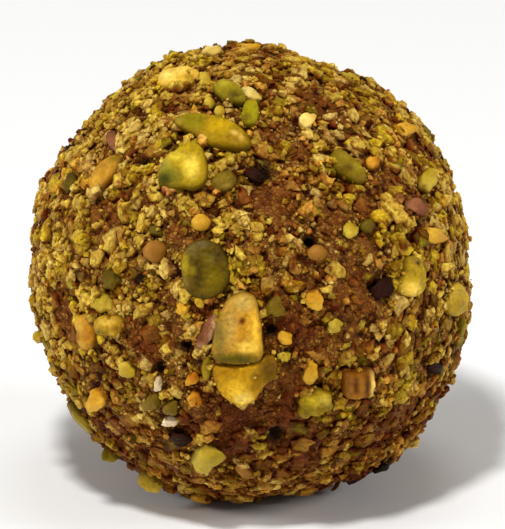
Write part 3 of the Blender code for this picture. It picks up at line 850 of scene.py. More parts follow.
mainPieces = {
    # kind, middle (across, up), length, width and turn as in the frame, outline round the middle, height in
    # mm, tone of the body and of the sides (the sides' darker tone is painted shade), then soft paint, some
    # of it painted light and shade, and swells of the top: (across, up, half width, half height, colour) and
    # (across, up, radius, height)
    "longSliver": dict(
        kind="sliver", place=(-3.3, 12.7, 6.9, 2.7, -14), height=0.9,
        outline=((-3.6, 0.9), (-3.2, 1.5), (-0.8, 1.5), (1.0, 1.2), (2.3, 0.45), (3.2, -0.4), (3.4, -1.2),
                 (2.6, -1.6), (1.0, -1.45), (-0.35, -1.2), (-1.55, -0.55), (-2.5, 0.15), (-3.35, 0.5)),
        body=(154, 122, 4), side=(84, 58, 2),
        # the pale spots at (2.0, -0.5) and (2.6, -0.9) near the right end are painted glints
        paint=((-1.7, 0.7, 1.1, 1.0, (132, 118, 6)), (0.7, 0.1, 1.1, 0.7, (192, 154, 8)),
               (-3.1, 0.8, 0.5, 0.5, (158, 134, 40)), (2.0, -0.5, 0.3, 0.25, (214, 176, 84)),
               (2.6, -0.9, 0.25, 0.3, (206, 160, 70)), (1.6, -1.1, 0.6, 0.3, (150, 112, 6))),
        swells=((-1.6, 0.5, 1.1, 0.1), (1.0, -0.2, 1.4, 0.16), (-0.4, 0.2, 0.4, -0.06)),
    ),
    "yellowHalf": dict(
        kind="kernel", place=(-5.5, 9.8, 3.8, 3.4, 20), height=0.95,
        outline=((-2.7, -1.3), (-2.5, -0.4), (-2.1, 0.4), (-1.2, 0.9), (-0.5, 1.6), (0.2, 2.0), (1.2, 1.7),
                 (1.6, 0.6), (1.75, -0.75), (1.5, -1.7), (0.6, -2.2), (-0.5, -2.0), (-1.6, -2.2),
                 (-2.5, -2.0)),
        body=(176, 146, 18), side=(92, 72, 4),
        # the near-black green spot at (-2.1, -1.6) is painted shadow, and the brightest one at (0.5, -0.6) a
        # painted highlight
        paint=((-2.2, -0.3, 0.7, 0.8, (150, 138, 48)), (-1.3, -1.3, 0.9, 0.8, (124, 116, 18)),
               (-2.1, -1.6, 0.8, 0.6, (48, 54, 2)),
               (-0.9, 0.4, 0.8, 0.5, (210, 184, 50)), (0.5, -0.6, 0.7, 0.95, (244, 212, 74)),
               (0.4, 1.4, 0.9, 0.5, (172, 142, 6)), (1.5, -0.4, 0.25, 1.2, (168, 134, 16))),
        swells=((-1.3, 0.1, 0.9, 0.16), (0.6, -0.4, 1.0, 0.26), (-0.5, -1.4, 0.5, -0.12)),
    ),
    "oliveHalf": dict(
        kind="kernel", place=(-4.0, 0.5, 5.4, 4.9, -60), height=1.0,
        outline=((-1.3, 2.4), (0.0, 2.75), (1.15, 2.4), (1.95, 1.3), (2.25, 0.15), (2.15, -1.1), (1.6, -2.1),
                 (0.45, -2.7), (-0.85, -2.6), (-1.65, -1.85), (-2.0, -0.75), (-2.2, 0.4), (-1.95, 1.5)),
        body=(92, 72, 2), side=(48, 34, 1),
        # the dark streak at (-0.5, -0.4) lies along a dip of the top: painted shade
        paint=((-1.75, 0.5, 0.45, 1.2, (160, 136, 28)), (-1.1, 1.9, 0.5, 0.6, (116, 98, 44)),
               (-0.2, 2.2, 0.5, 0.35, (108, 90, 50)), (-1.7, -1.3, 0.4, 0.5, (134, 112, 50)),
               (0.9, -0.9, 0.8, 1.1, (116, 96, 4)), (0.1, -1.9, 0.6, 0.4, (112, 90, 12)),
               (-0.5, -0.4, 0.45, 1.3, (66, 48, 1)), (1.3, 1.2, 0.6, 0.7, (66, 48, 2)),
               (-1.0, -0.1, 0.4, 0.4, (136, 116, 14)), (0.5, 0.9, 0.5, 0.5, (106, 88, 6))),
        swells=((0.1, 0.1, 1.9, 0.16), (-0.8, 0.8, 0.6, 0.12), (0.8, -0.9, 0.8, 0.08),
                (-0.5, -0.5, 0.5, -0.1), (0.6, 1.6, 0.5, -0.1)),
    ),
    "goldenHalf": dict(
        kind="kernel", place=(-0.9, -4.7, 5.8, 4.2, 100), height=1.05,
        outline=((-0.7, 2.9), (0.2, 3.3), (1.2, 3.0), (1.6, 2.2), (1.85, 0.8), (2.0, -0.7), (2.1, -2.2),
                 (1.8, -3.0), (0.2, -3.2), (-1.3, -3.2), (-2.3, -2.9), (-2.6, -2.0), (-2.3, -0.5),
                 (-1.8, 1.2), (-1.3, 2.3)),
        body=(208, 154, 44), side=(90, 68, 6),
        # the duller left side at (-1.8, -0.6) is painted shade, the bright band at (1.35, -0.4) and the
        # brightest spot at (0.7, -1.5) painted light, and the dark spot at (0.2, 0.85) painted shade in a
        # dent
        paint=((-1.8, -0.6, 0.7, 2.4, (142, 116, 46)), (-0.8, 0.5, 0.6, 2.0, (190, 152, 68)),
               (0.3, 2.4, 0.9, 0.7, (206, 172, 84)), (1.35, -0.4, 0.35, 2.2, (250, 198, 56)),
               (0.7, -1.5, 0.9, 0.6, (255, 212, 84)), (0.1, -0.3, 0.35, 0.6, (212, 146, 30)),
               (-0.3, -2.6, 2.6, 0.62, (92, 82, 4)), (0.2, 0.85, 0.3, 0.34, (104, 34, 2))),
        swells=((0.4, 0.2, 1.6, 0.14), (1.2, -0.8, 0.6, 0.08), (-1.6, -0.6, 0.6, -0.1),
                (0.25, 0.85, 0.25, -0.08)),
    ),
    "goldenShield": dict(
        kind="kernel", place=(-1.0, -9.6, 5.4, 3.8, -5), height=0.85,
        outline=((-2.4, 1.7), (-1.0, 1.65), (0.5, 1.7), (2.0, 2.3), (3.0, 2.45), (3.4, 1.7), (3.2, 0.65),
                 (2.4, 0.0), (1.85, -0.6), (1.3, -1.5), (0.3, -1.95), (-0.85, -1.5), (-1.85, -0.55),
                 (-2.4, 0.55)),
        body=(202, 152, 16), side=(124, 80, 4),
        # the pale spot at (0.4, -1.0) is a painted highlight; the olive-brown lobe at (2.8, 1.3) lies in a
        # dip and is partly its own tone and partly painted shade
        paint=((-0.2, -0.2, 0.9, 0.8, (236, 188, 44)), (0.4, -1.0, 0.8, 0.55, (255, 220, 104)),
               (-1.0, 1.3, 1.4, 0.4, (170, 124, 8)), (1.5, 0.4, 0.5, 0.8, (150, 108, 8)),
               (2.8, 1.3, 1.1, 1.4, (88, 66, 2)), (-2.1, 0.4, 0.4, 1.0, (166, 116, 8))),
        swells=((-0.4, -0.3, 1.3, 0.2), (0.4, -1.0, 0.7, 0.1), (2.7, 1.3, 1.1, -0.3), (1.5, 0.6, 0.4, -0.14)),
    ),
    "goldBar": dict(
        kind="chunk", place=(-6.6, 17.7, 4.0, 1.7, 8), height=0.5, knobbly=0.5,
        outline=((-1.9, -0.5), (-1.6, 0.3), (-0.7, 0.8), (0.7, 1.0), (1.9, 0.7), (2.1, 0.1), (1.4, -0.5),
                 (0.4, -0.9), (-1.1, -0.9)),
        body=(232, 186, 62), side=(150, 106, 22),
        paint=((-0.8, -0.1, 0.8, 0.5, (255, 220, 110)), (0.5, 0.4, 0.8, 0.4, (248, 204, 90)),
               (1.3, -0.3, 0.5, 0.4, (178, 140, 34))),
        swells=((-0.7, -0.1, 0.6, 0.1), (0.9, 0.3, 0.5, 0.06), (0.2, -0.2, 0.3, -0.12)),
    ),
    "amberSliver": dict(
        kind="sliver", place=(-13.0, 9.1, 3.8, 1.5, 49), height=0.6,
        outline=((-1.4, -0.9), (-1.0, 0.2), (-0.1, 1.0), (0.9, 1.6), (1.5, 1.4), (1.2, 0.5), (0.5, -0.5),
                 (-0.3, -1.4), (-0.9, -1.9)),
        body=(188, 136, 38), side=(108, 60, 6),
        paint=((-0.6, -0.8, 0.5, 0.6, (212, 160, 46)), (1.1, 1.1, 0.5, 0.4, (140, 114, 16)),
               (-1.0, 0.3, 0.3, 0.6, (140, 78, 10))),
        swells=((-0.5, -0.7, 0.7, 0.1),),
    ),
    "greenSliver": dict(
        kind="sliver", place=(8.7, 9.7, 4.2, 1.6, -35), height=0.7,
        outline=((-1.7, 0.6), (-1.4, 1.4), (-0.6, 1.4), (0.5, 0.5), (1.5, -0.5), (1.6, -1.4), (0.9, -1.6),
                 (-0.1, -1.1), (-1.2, -0.3)),
        body=(128, 104, 10), side=(74, 52, 2),
        paint=((-0.5, 0.6, 0.6, 0.4, (146, 124, 26)), (0.6, -0.3, 0.6, 0.4, (150, 128, 30)),
               (-0.4, -0.5, 0.6, 0.4, (100, 76, 2))),
        swells=((-0.2, 0.3, 0.9, 0.1),),
    ),
    "pittedHalf": dict(
        kind="chunk", place=(14.3, -0.3, 3.4, 2.0, 85), height=0.8,
        outline=((-0.6, 1.9), (0.3, 2.1), (0.8, 1.4), (0.9, 0.5), (1.1, -0.5), (0.7, -1.4), (-0.2, -1.7),
                 (-1.2, -1.4), (-1.3, -0.5), (-0.7, 0.5)),
        body=(176, 144, 22), side=(104, 76, 6),
        # the near-black spot at (0.3, 1.35) is painted shade in its pit
        paint=((0.1, 1.7, 0.7, 0.4, (150, 122, 34)), (-0.4, -1.0, 0.75, 0.7, (248, 208, 84)),
               (0.7, -0.4, 0.3, 0.6, (182, 150, 38)), (0.3, 1.35, 0.2, 0.2, (52, 36, 2))),
        swells=((-0.3, -0.9, 0.7, 0.2), (0.3, 1.4, 0.22, -0.3), (-0.4, 0.4, 0.4, -0.12)),
    ),
    "rimPale": dict(
        kind="chunk", place=(18.4, -2.2, 3.3, 1.8, 80), height=0.6,
        outline=((-0.3, 1.6), (0.4, 1.4), (0.9, 0.3), (0.7, -1.0), (0.1, -1.5), (-0.7, -1.4), (-1.0, -0.5),
                 (-0.8, 0.5)),
        body=(192, 158, 44), side=(118, 88, 12),
        paint=((-0.1, -0.4, 0.6, 0.7, (170, 136, 12)),),
        swells=((0.0, 0.0, 0.7, 0.1),),
    ),
    "amberBlock": dict(
        kind="chunk", place=(9.5, -9.7, 2.9, 2.5, 5), height=0.8,
        outline=((-1.35, 0.8), (-0.9, 1.1), (0.3, 1.15), (1.35, 1.4), (1.5, 0.9), (1.4, -0.6), (1.1, -1.0),
                 (-0.2, -1.3), (-1.1, -1.2), (-1.35, -0.6)),
        body=(138, 82, 8), side=(86, 42, 2),
        # its stripes are painted light on the ridges of its swells and painted shade in the grooves between
        # them
        paint=((1.15, 0.1, 0.27, 1.3, (250, 208, 104)), (0.65, 0.0, 0.22, 1.2, (96, 50, 3)),
               (0.1, 0.1, 0.25, 1.0, (160, 104, 16)), (-0.4, 0.1, 0.18, 1.0, (96, 50, 3)),
               (-0.95, 0.1, 0.3, 1.0, (140, 92, 28)), (-0.3, -0.95, 0.7, 0.3, (176, 114, 8))),
        swells=((1.2, 0.1, 0.35, 0.2), (0.65, 0.0, 0.25, -0.24), (0.1, 0.1, 0.3, 0.1),
                (-0.4, 0.1, 0.2, -0.16)),
    ),
    "paleBlock": dict(
        kind="chunk", place=(5.7, -11.3, 3.1, 2.3, 15), height=0.7,
        outline=((-1.5, 0.1), (-0.9, 0.7), (-0.4, 0.6), (0.2, 1.2), (0.8, 1.0), (1.5, 0.8), (1.4, 0.1),
                 (1.7, -0.4), (0.8, -0.7), (0.3, -1.2), (-0.4, -1.0), (-0.9, -1.4), (-1.5, -0.9),
                 (-1.2, -0.4)),
        body=(158, 132, 12), side=(90, 64, 4),
        paint=((-0.2, 0.3, 0.6, 0.4, (196, 170, 30)), (0.7, 0.6, 0.5, 0.4, (206, 176, 58)),
               (-0.9, -0.6, 0.5, 0.5, (124, 100, 6)), (0.9, -0.3, 0.4, 0.3, (140, 112, 8))),
        swells=((-0.2, 0.3, 0.5, 0.2), (0.8, 0.5, 0.5, 0.18), (0.3, -0.3, 0.4, -0.2),
                (-0.9, -0.6, 0.4, 0.16)),
    ),
    "goldBlock": dict(
        kind="chunk", place=(-14.7, -5.0, 3.3, 1.7, 85), height=0.6,
        outline=((-0.5, 1.4), (0.2, 1.65), (0.7, 1.2), (0.95, 0.2), (0.9, -1.0), (0.5, -1.7), (-0.2, -1.5),
                 (-0.75, -0.9), (-0.6, 0.0), (-0.9, 0.7)),
        body=(190, 134, 28), side=(120, 70, 6),
        paint=((-0.3, 0.6, 0.5, 0.8, (216, 168, 56)), (0.5, -0.2, 0.3, 0.9, (180, 114, 8)),
               (0.0, -1.1, 0.5, 0.35, (206, 158, 44)), (-0.5, -0.3, 0.3, 0.5, (156, 104, 10))),
        swells=((-0.2, 0.5, 0.5, 0.14), (0.2, -1.0, 0.5, 0.1), (-0.1, -0.3, 0.35, -0.12)),
    ),
    "goldBean": dict(
        kind="chunk", place=(-12.6, -4.5, 2.4, 1.7, -10), height=0.55,
        outline=((-1.2, 0.5), (-0.6, 0.95), (0.2, 0.75), (0.7, 0.9), (1.25, 0.4), (1.1, -0.4), (0.5, -0.9),
                 (-0.3, -0.75), (-0.9, -0.95), (-1.35, -0.2)),
        body=(186, 144, 34), side=(116, 84, 8),
        paint=((-0.5, -0.5, 0.6, 0.35, (140, 112, 10)), (0.1, 0.4, 0.7, 0.3, (224, 182, 70)),
               (0.8, -0.2, 0.3, 0.4, (160, 114, 10))),
        swells=((-0.4, 0.2, 0.5, 0.12), (0.7, 0.1, 0.4, 0.1), (0.2, -0.4, 0.3, -0.12)),
    ),
    "mauveCrescent": dict(
        kind="skin", place=(-3.8, -5.0, 3.0, 1.0, 65), height=0.5,
        outline=((0.75, 1.6), (0.95, 0.9), (0.75, 0.0), (0.3, -0.9), (-0.6, -1.6), (-1.1, -1.4), (-0.9, -0.8),
                 (-0.7, 0.1), (-0.2, 0.9), (0.3, 1.4)),
        body=(142, 90, 58), side=(92, 44, 24),
        # the dark streak at (-0.6, 0.0) lies in a dip of the top: painted shade
        paint=((0.75, 0.9, 0.28, 0.8, (206, 162, 128)), (0.45, -0.4, 0.3, 0.7, (206, 158, 122)),
               (-0.4, -1.3, 0.5, 0.3, (190, 142, 104)), (-0.6, 0.0, 0.4, 0.9, (118, 66, 38))),
        swells=((0.7, 0.5, 0.4, 0.16), (0.2, -0.9, 0.4, 0.14), (-0.5, 0.2, 0.5, -0.12)),
    ),
    "greenBean": dict(
        kind="chunk", place=(-1.9, 16.2, 2.5, 1.6, -38), height=0.7,
        outline=((-1.5, 0.5), (-0.5, 1.1), (0.5, 0.7), (1.6, -0.4), (1.2, -1.0), (0.0, -0.9), (-1.1, -0.2)),
        body=(144, 126, 18), side=(62, 48, 2),
        paint=((-0.5, 0.5, 0.6, 0.4, (180, 162, 40)), (0.5, -0.5, 0.7, 0.4, (92, 78, 4))),
        swells=((-0.2, 0.2, 0.6, 0.1),),
    ),
    "greenBrick": dict(
        kind="chunk", place=(0.0, 14.4, 2.2, 1.7, 80), height=0.7,
        outline=((-0.5, 1.0), (0.6, 1.1), (0.8, -0.2), (0.5, -1.1), (-0.5, -1.2), (-0.9, -0.4)),
        body=(150, 138, 8), side=(84, 70, 2),
        paint=((0.2, 0.7, 0.4, 0.3, (168, 146, 12)), (-0.4, -0.7, 0.4, 0.4, (120, 98, 6))),
        swells=((0.0, 0.3, 0.5, 0.08),),
    ),
    "oliveRound": dict(
        kind="chunk", place=(-2.4, 8.4, 2.2, 2.0, 60), height=0.6,
        outline=((-1.2, -0.1), (-0.6, 0.7), (0.5, 0.9), (1.2, 0.1), (0.8, -0.7), (-0.2, -1.0), (-1.0, -0.7)),
        body=(112, 88, 14), side=(62, 42, 4),
        paint=((-0.3, 0.1, 0.6, 0.5, (130, 106, 24)), (0.4, -0.7, 0.5, 0.25, (150, 120, 40))),
        swells=((0.0, 0.1, 0.5, 0.08),),
    ),
}
smallPieces = (  # kind, tone, across, up, length, width in mm, turn in degrees
    ("kernel", "pale", -9.1, -18.8, 2.4, 1.8, -20),
    ("sliver", "green", -3.9, -8.3, 2.4, 1.0, 85),
    ("chunk", "gold", -0.2, 20.6, 2.4, 1.1, 0),
    ("chunk", "pale", -4.1, 17.6, 1.3, 1.3, 0),
    ("chunk", "cream", 0.1, 16.1, 2.2, 1.1, -25),
    ("chunk", "pale", -12.0, 16.1, 1.4, 0.9, 40),
    ("chunk", "pale", -13.8, 14.6, 1.2, 1.1, 50),
    ("chunk", "cream", 5.1, 13.9, 1.5, 1.4, 30),
    ("chunk", "gold", 13.8, 13.0, 2.2, 1.4, 10),
    ("chunk", "amber", 11.0, 10.1, 1.3, 1.2, 0),
    ("chunk", "pale", 15.8, 8.5, 2.2, 1.4, 100),
    ("chunk", "darkGreen", -16.1, 8.3, 1.8, 1.1, 80),
    ("chunk", "darkGreen", -8.5, 4.0, 1.6, 1.0, -20),
    ("chunk", "pale", 8.9, 4.0, 1.5, 1.4, 60),
    ("chunk", "gold", 16.6, 3.5, 2.3, 1.5, -10),
    ("chunk", "darkGreen", -12.4, -0.4, 2.0, 1.6, 90),
    ("chunk", "gold", 5.7, -2.3, 1.9, 1.6, 110),
    ("chunk", "pale", -13.2, -2.4, 2.4, 1.8, 120),
    ("chunk", "gold", -6.0, -2.9, 1.9, 1.2, 70),
    ("chunk", "olive", 2.2, -2.9, 2.1, 1.9, 40),
    ("chunk", "pale", 7.6, -4.5, 1.6, 1.4, 20),
    ("chunk", "green", 18.8, -5.2, 3.3, 1.8, 70),
    ("chunk", "gold", 3.1, -5.6, 1.5, 1.5, 30),
    ("chunk", "pale", -19.3, -5.7, 1.3, 1.1, 70),
    ("chunk", "pale", 3.0, -7.3, 1.4, 1.0, 10),
    ("chunk", "pale", -11.0, -8.4, 2.0, 1.4, -20),
    ("chunk", "gold", 5.4, -8.7, 2.2, 1.4, 80),
    ("chunk", "amber", -5.2, -9.3, 1.5, 1.3, 80),
    ("chunk", "white", -8.3, -9.8, 1.3, 0.9, 70),
    ("chunk", "amber", -5.0, -11.1, 1.5, 1.4, 0),
    ("chunk", "gold", -13.8, -11.2, 2.2, 1.8, 110),
    ("chunk", "olive", -8.8, -11.4, 2.0, 1.6, 70),
    ("chunk", "olive", -7.1, -11.9, 1.6, 1.4, 60),
    ("chunk", "white", -7.2, -13.2, 1.6, 0.9, -5),
    ("chunk", "pale", -3.8, -16.3, 3.3, 2.4, 15),
    ("chunk", "green", -12.9, -16.5, 1.6, 1.3, -35),
    ("chunk", "tan", -0.4, -17.7, 2.2, 0.9, -28),
    ("chunk", "tan", -1.3, -20.4, 2.2, 0.8, -5),
    ("seed", "tan", -8.5, 2.1, 2.1, 2.1, 0),
    ("seed", "gold", -4.4, 4.7, 1.8, 1.6, 0),
    ("seed", "tan", 6.0, 2.0, 1.8, 1.5, 0),
    ("seed", "darkGreen", 10.5, 4.4, 1.3, 1.3, 0),
    ("seed", "pale", -3.7, 15.5, 1.0, 1.0, 0),
    ("seed", "pale", -2.8, 14.7, 1.0, 0.9, 0),
    ("skin", "plum", 10.1, 17.7, 1.3, 0.6, -35),
    ("skin", "mauve", -12.4, 12.2, 2.4, 1.0, 105),
    ("skin", "plum", 0.3, 9.0, 2.0, 1.1, -30),
    ("skin", "mauve", 14.9, 6.1, 2.2, 1.4, -30),
    ("skin", "plum", 11.9, -1.1, 2.5, 1.6, 40),
    ("skin", "plum", 16.8, -8.3, 1.4, 1.0, 20),
    ("skin", "plum", -6.3, -14.7, 2.4, 1.0, -15),
    ("skin", "dark", 12.1, -17.4, 2.2, 0.9, 15),
)
hidden = {  # pieces on the sides that the front doesn't show
    "spots": 104,
    "wander": 0.28,  # how far each strays from its even place
    "edge": 0.22,  # how far they reach round to the front
    "bareBase": math.radians(17),
    "seeds": (41, 5),  # of the places and of the tones
    # shape, share, shortest and longest in mm, width as a share of the length
    "mix": (
        ("kernel", 0.09, (3.6, 5.6), 0.78), ("sliver", 0.09, (2.6, 5.6), 0.42),
        ("chunk", 0.62, (1.4, 3.3), 0.72), ("seed", 0.07, (1.3, 2.1), 0.94), ("skin", 0.13, (1.5, 2.6), 0.58),
    ),
    "tones": {
        "kernel": ("gold", "pale", "olive", "green", "gold"),
        "sliver": ("green", "pale", "gold", "olive"),
        "chunk": ("gold", "pale", "green", "olive", "cream", "amber", "gold", "pale", "tan"),
        "seed": ("tan", "gold", "pale"),
        "skin": ("plum", "mauve", "dark", "plum"),
    },
}


def seatShown(x, y, length, width, turn):
    direction, radius = shownSpot(x, y)
    if math.hypot(x, y) * mm > 0.96 * coreRadius:
        longAxis = direction.cross(toward).normalized() * length * mm / 2
        wideAxis = direction.cross(longAxis).normalized() * width * mm / 2
    else:
        longAxis = flatAxis(direction, turn) * length * mm / 2
        wideAxis = flatAxis(direction, turn + 90) * width * mm / 2
    return direction, longAxis, wideAxis, radius - bedRadius(direction)


def flatAxis(direction, turn):
    # lies on the ball, and looks one unit long and turned by that much from the front
    flat = clockDirection(turn)
    return flat - toward * (flat.dot(direction) / max(direction.dot(toward), pieceSeat["steepest"]))


def seatAt(direction, length, width, turn):
    side = direction.orthogonal().normalized()
    longAxis = Matrix.Rotation(turn, 3, direction) @ side
    return direction, longAxis * length / 2, direction.cross(longAxis) * width / 2, 0.0


def evenSpots(count, rng, wander):
    golden = math.pi * (3 - math.sqrt(5))
    spacing = math.sqrt(4 * math.pi / count)
    for i in range(count):
        z = 1 - 2 * (i + 0.5) / count
        ring = math.sqrt(1 - z * z)
        spot = Vector((ring * math.cos(golden * i), ring * math.sin(golden * i), z))
        yield (spot + boxVector(rng) * spacing * wander).normalized()


def planPieces():
    plan = [(row[0], row[1], *seatShown(*row[2:])) for row in smallPieces]
    rng, toneRng = (random.Random(seed) for seed in hidden["seeds"])
    kinds, shares, _, _ = zip(*hidden["mix"])
    sizes = {row[0]: row[2:] for row in hidden["mix"]}
    for spot in evenSpots(hidden["spots"], rng, hidden["wander"]):
        kind = rng.choices(kinds, shares)[0]
        (shortest, longest), slenderness = sizes[kind]
        length = rng.uniform(shortest, longest) * mm
        turn = rng.uniform(0, math.tau)
        nearBase = spot.angle(Vector((0, 0, -1))) < hidden["bareBase"]
        if spot.dot(toward) < hidden["edge"] and not nearBase:
            tone = toneRng.choice(hidden["tones"][kind])
            plan.append((kind, tone, *seatAt(spot, length, length * slenderness, turn)))
    return plan


mainRings = ((0.62, 1.0), (0.26, 0.93), (0.12, 0.74))  # rise as a share of the height, shrink
mainGrain = {
    "root": 0.7,  # mm sunk in the paste
    "voxel": 0.13,  # fineness in mm
    "smoothing": 2,
    "sides": (2, 0.06),  # how often each side of the outline is split, and how much that strays
    "rim": (4, 0.02),  # the same for the places along it where crumbs gather
    "ripples": ((1.3, 0.08, 0.1), (3.1, 0.06, 0.2), (6.5, 0.04, 0.25)),  # waves, height, share of brightness, which paints light on the ripples' rises and shade in their dips
    "knobbly": {"kernel": 1.5, "sliver": 1.2, "chunk": 1.8, "skin": 0.5},  # how much of the ripples' height
}
mainRng = random.Random(3)
footprints = []  # direction, half axes and top of every larger piece
rims = []  # direction and height along the outlines of the main pieces


def modelMainPiece(piece):
    # outline, slab, even grain, sculpted top and painted tones, with painted shade low on the sides and some
    # painted light and shade on top, in mm; then laid on the ball
    root = mainGrain["root"]
    height = piece["height"] + root
    rings = [(share * height, shrink) for share, shrink in mainRings]
    shape = extrudeSlab(splitSides(piece["outline"], *mainGrain["sides"], mainRng), rings, 1)
    even = shape.modifiers.new("evenGrain", "REMESH")
    even.mode = "VOXEL"
    even.voxel_size = mainGrain["voxel"]
    rounded = shape.modifiers.new("rounded", "SMOOTH")
    rounded.iterations = mainGrain["smoothing"]
    cutInTriangles(shape)
    points, corners = takeArrays(shape, even=False)
    outline = np.array(piece["outline"])
    for axis in (0, 1):  # softening shrinks the outline, so it is stretched back
        low, high = points[:, axis].min(), points[:, axis].max()
        share = (points[:, axis] - low) / (high - low)
        points[:, axis] = outline[:, axis].min() + share * np.ptp(outline[:, axis])
    points[:, 2] *= height / points[:, 2].max()
    top = smooth(points[:, 2] / height * 2 - 0.6)
    for x, y, radius, rise in piece["swells"]:
        near = np.exp(-((points[:, 0] - x) ** 2 + (points[:, 1] - y) ** 2) / radius**2)
        points[:, 2] += rise * near * top
    tint = np.tile(srgb(*piece["body"]), (len(points), 1))
    for x, y, halfWidth, halfHeight, colour in piece["paint"]:
        away = ((points[:, 0] - x) / halfWidth) ** 2 + ((points[:, 1] - y) / halfHeight) ** 2
        tint = blend(tint, np.array(srgb(*colour)), np.exp(-away**1.5)[:, None])
    # darker low on the sides: painted shade
    side = np.array(srgb(*piece["side"]))
    tint = blend(tint, side, smooth(2.05 - points[:, 2] / height * 2)[:, None] * 0.9)
    allWaves, rises, shades = zip(*mainGrain["ripples"])
    ripple = np.array([[noise.noise(Vector(point) * waves) for waves in allWaves] for point in points])
    knobbly = piece.get("knobbly", mainGrain["knobbly"][piece["kind"]])
    points[:, 2] += (ripple @ rises) * top * knobbly
    tint = tint * (1 + ripple @ shades)[:, None]
    direction, longAxis, wideAxis, _ = seatShown(*piece["place"])
    base = centre + direction * (bedRadius(direction) - root * mm)
    axes = np.array([flatAxis(direction, 0), flatAxis(direction, 90), direction]) * mm
    crest = piece["height"] * mm + ball["bedHeight"]
    footprints.append((direction, longAxis, wideAxis, crest))
    for x, y in splitSides(piece["outline"], *mainGrain["rim"], mainRng):
        spot = Vector(np.array([x, y, 0]) @ axes) + direction * coreRadius
        rims.append((spot.normalized(), crest))
    return points @ axes + np.array(base), corners, tint


ownForms = {kind: [] for kind in heights}
for piece in mainPieces.values():
    ownForms[piece["kind"]].append(modelMainPiece(piece))

copiesOf = {kind: [] for kind in heights}
pieceRng = random.Random(23)
for kind, tone, direction, longAxis, wideAxis, rise in planPieces():
    length, width = 2 * longAxis.length, 2 * wideAxis.length
    height = clamp(heights[kind] * min(length, width), pieceSeat["least"], pieceSeat["most"])
    if rise > 0:
        height = rise + width / 2
    thickness = max(height + pieceSeat["root"], pieceSeat["fullness"] * height)
    if kind == "skin":
        thickness = max(pieceSeat["skin"], rise * 2)
    middle = centre + direction * (bedRadius(direction) + height - thickness / 2)
    bright = pieceRng.uniform(*pieceSeat["brightness"])
    colours = [
        [part * bright * pieceRng.uniform(*pieceSeat["tint"]) for part in srgb(*colour)]
        for colour in tones[tone]
    ]
    number = pieceRng.randrange(variety[kind])
    copiesOf[kind].append((number, middle, (longAxis, wideAxis, direction * thickness / 2), colours))
    footprints.append((direction, longAxis, wideAxis, height + ball["bedHeight"]))

coatPieces = {
    "kernel": ("splitKernels", "pistachioFlesh"), "sliver": ("kernelSlivers", "pistachioFlesh"),
    "chunk": ("choppedNuts", "pistachioFlesh"), "seed": ("roundGrains", "roundGrain"),
    "skin": ("skinFlakes", "nutSkin"),
}
coat = []
for kind, (name, finish) in coatPieces.items():
    coat.append(joinForms(name, placeCopies(kind, copiesOf[kind]) + ownForms[kind], materials[finish]))

# crumbs of like brightness and of like tone lie together
clusters = {
    "waves": (9, 22), "amount": (0.7, 0.75), "toneWaves": (9, 20), "toneAmount": (1.3, 1.3), "luck": 0.5,
}
# painted light and shade by height: low crumbs are darker and high ones lighter, and low ones take more of
# the dark paste tone, part paste staining and part painted shade
depthShade = {"low": 0.05 * mm, "high": 0.65 * mm, "dark": 0.8, "light": 1.4, "stainAndShade": 0.5}
shading = {
    "chance": (0.82, 1.22),  # brightness from crumb to crumb
    "otherEnd": (0.45, 1.05),  # and of a crumb's other end
    "dimmest": 0.3,  # least brightness of a cluster
    "pit": 0.7, "moist": 0.3, "under": 0.4,  # how much darker: painted shade in a pit, moist paste, and painted shade under the ball
}
recesses = {"level": -0.17, "rare": 0.15}  # where the paste dips, few crumbs lie
# crumbs that cling together in mealy clumps: how many clumps, their radius and rise in mm, and how often
# a crumb in one has the tone of the rest
clumps = {
    "number": 720, "reach": (0.7, 1.9), "rise": 0.32, "loyalty": 0.86, "darkest": 0.7,
    "evenness": 0.6,  # how much less the brightness of its crumbs varies
    "edge": (0.58, 0.35),  # their sides: how bright, as painted shade, and how much of the dark paste tone clings there, part paste and part painted shade
}
looseEdge = (0.4, 0.7)  # the same for a crumb that lies alone: painted shade on its sides
crumbLayers = {
    # number, length range in mm, how often one stays on a piece, on another crumb and on a bare patch, how
    # deep it sinks, how often it lies on the rim of a main piece, how flat it is, most height in mm of the
    # crumbs under it, how much it tips, and share of them that gathers round the larger pieces
    # clumped, pasty and pale: how often such crumbs lie in a clump, are of paste, and are among the pale
    # ones; the pale dust stands in partly for glints, as painted highlights
    "coarse": dict(number=2000, lengths=(1.2, 2.7), onPiece=0.0, onCrumb=0.6, onBare=0.06, sink=0.4,
                   rim=0.0, flat=(0.24, 0.4), limit=0.7, tip=0.2, gather=0.1, clumped=0.0, pasty=0.2,
                   pale=0.0),
    "medium": dict(number=4000, lengths=(0.7, 1.75), onPiece=0.02, onCrumb=0.45, onBare=0.25, sink=0.4,
                   rim=0.04, flat=(0.3, 0.5), limit=0.9, tip=0.35, gather=0.2, clumped=0.6, pasty=0.5,
                   pale=0.1),
    "fine": dict(number=5000, lengths=(0.4, 0.85), onPiece=0.04, onCrumb=0.25, onBare=0.5, sink=0.34,
                 rim=0.06, flat=(0.45, 0.8), limit=1.1, tip=0.45, gather=0.2, clumped=0.6, pasty=0.9,
                 pale=0.15),
    "dust": dict(number=2800, lengths=(0.18, 0.34), onPiece=0.06, onCrumb=0.12, onBare=0.45, sink=0.25,
                 rim=0.04, flat=(0.6, 1.0), limit=1.3, tip=0.5, gather=0.15, clumped=0.2, pasty=1.0,
                 pale=0.4),
}
crumbMargin = 0.4  # how much of a crumb's length it keeps off the larger pieces
choppedAngle = 48  # edges sharper than this stay crisp, in degrees
crumbNames = {"coarse": "coarseCrumbs", "medium": "mediumCrumbs", "fine": "fineCrumbs", "dust": "nutDust"}
nearby = {  # how far round a crumb other things are looked for, on a ball of radius 1
    "pieces": 3.6 * mm / coreRadius,
    "crumbs": 1.4 * mm / coreRadius,
}


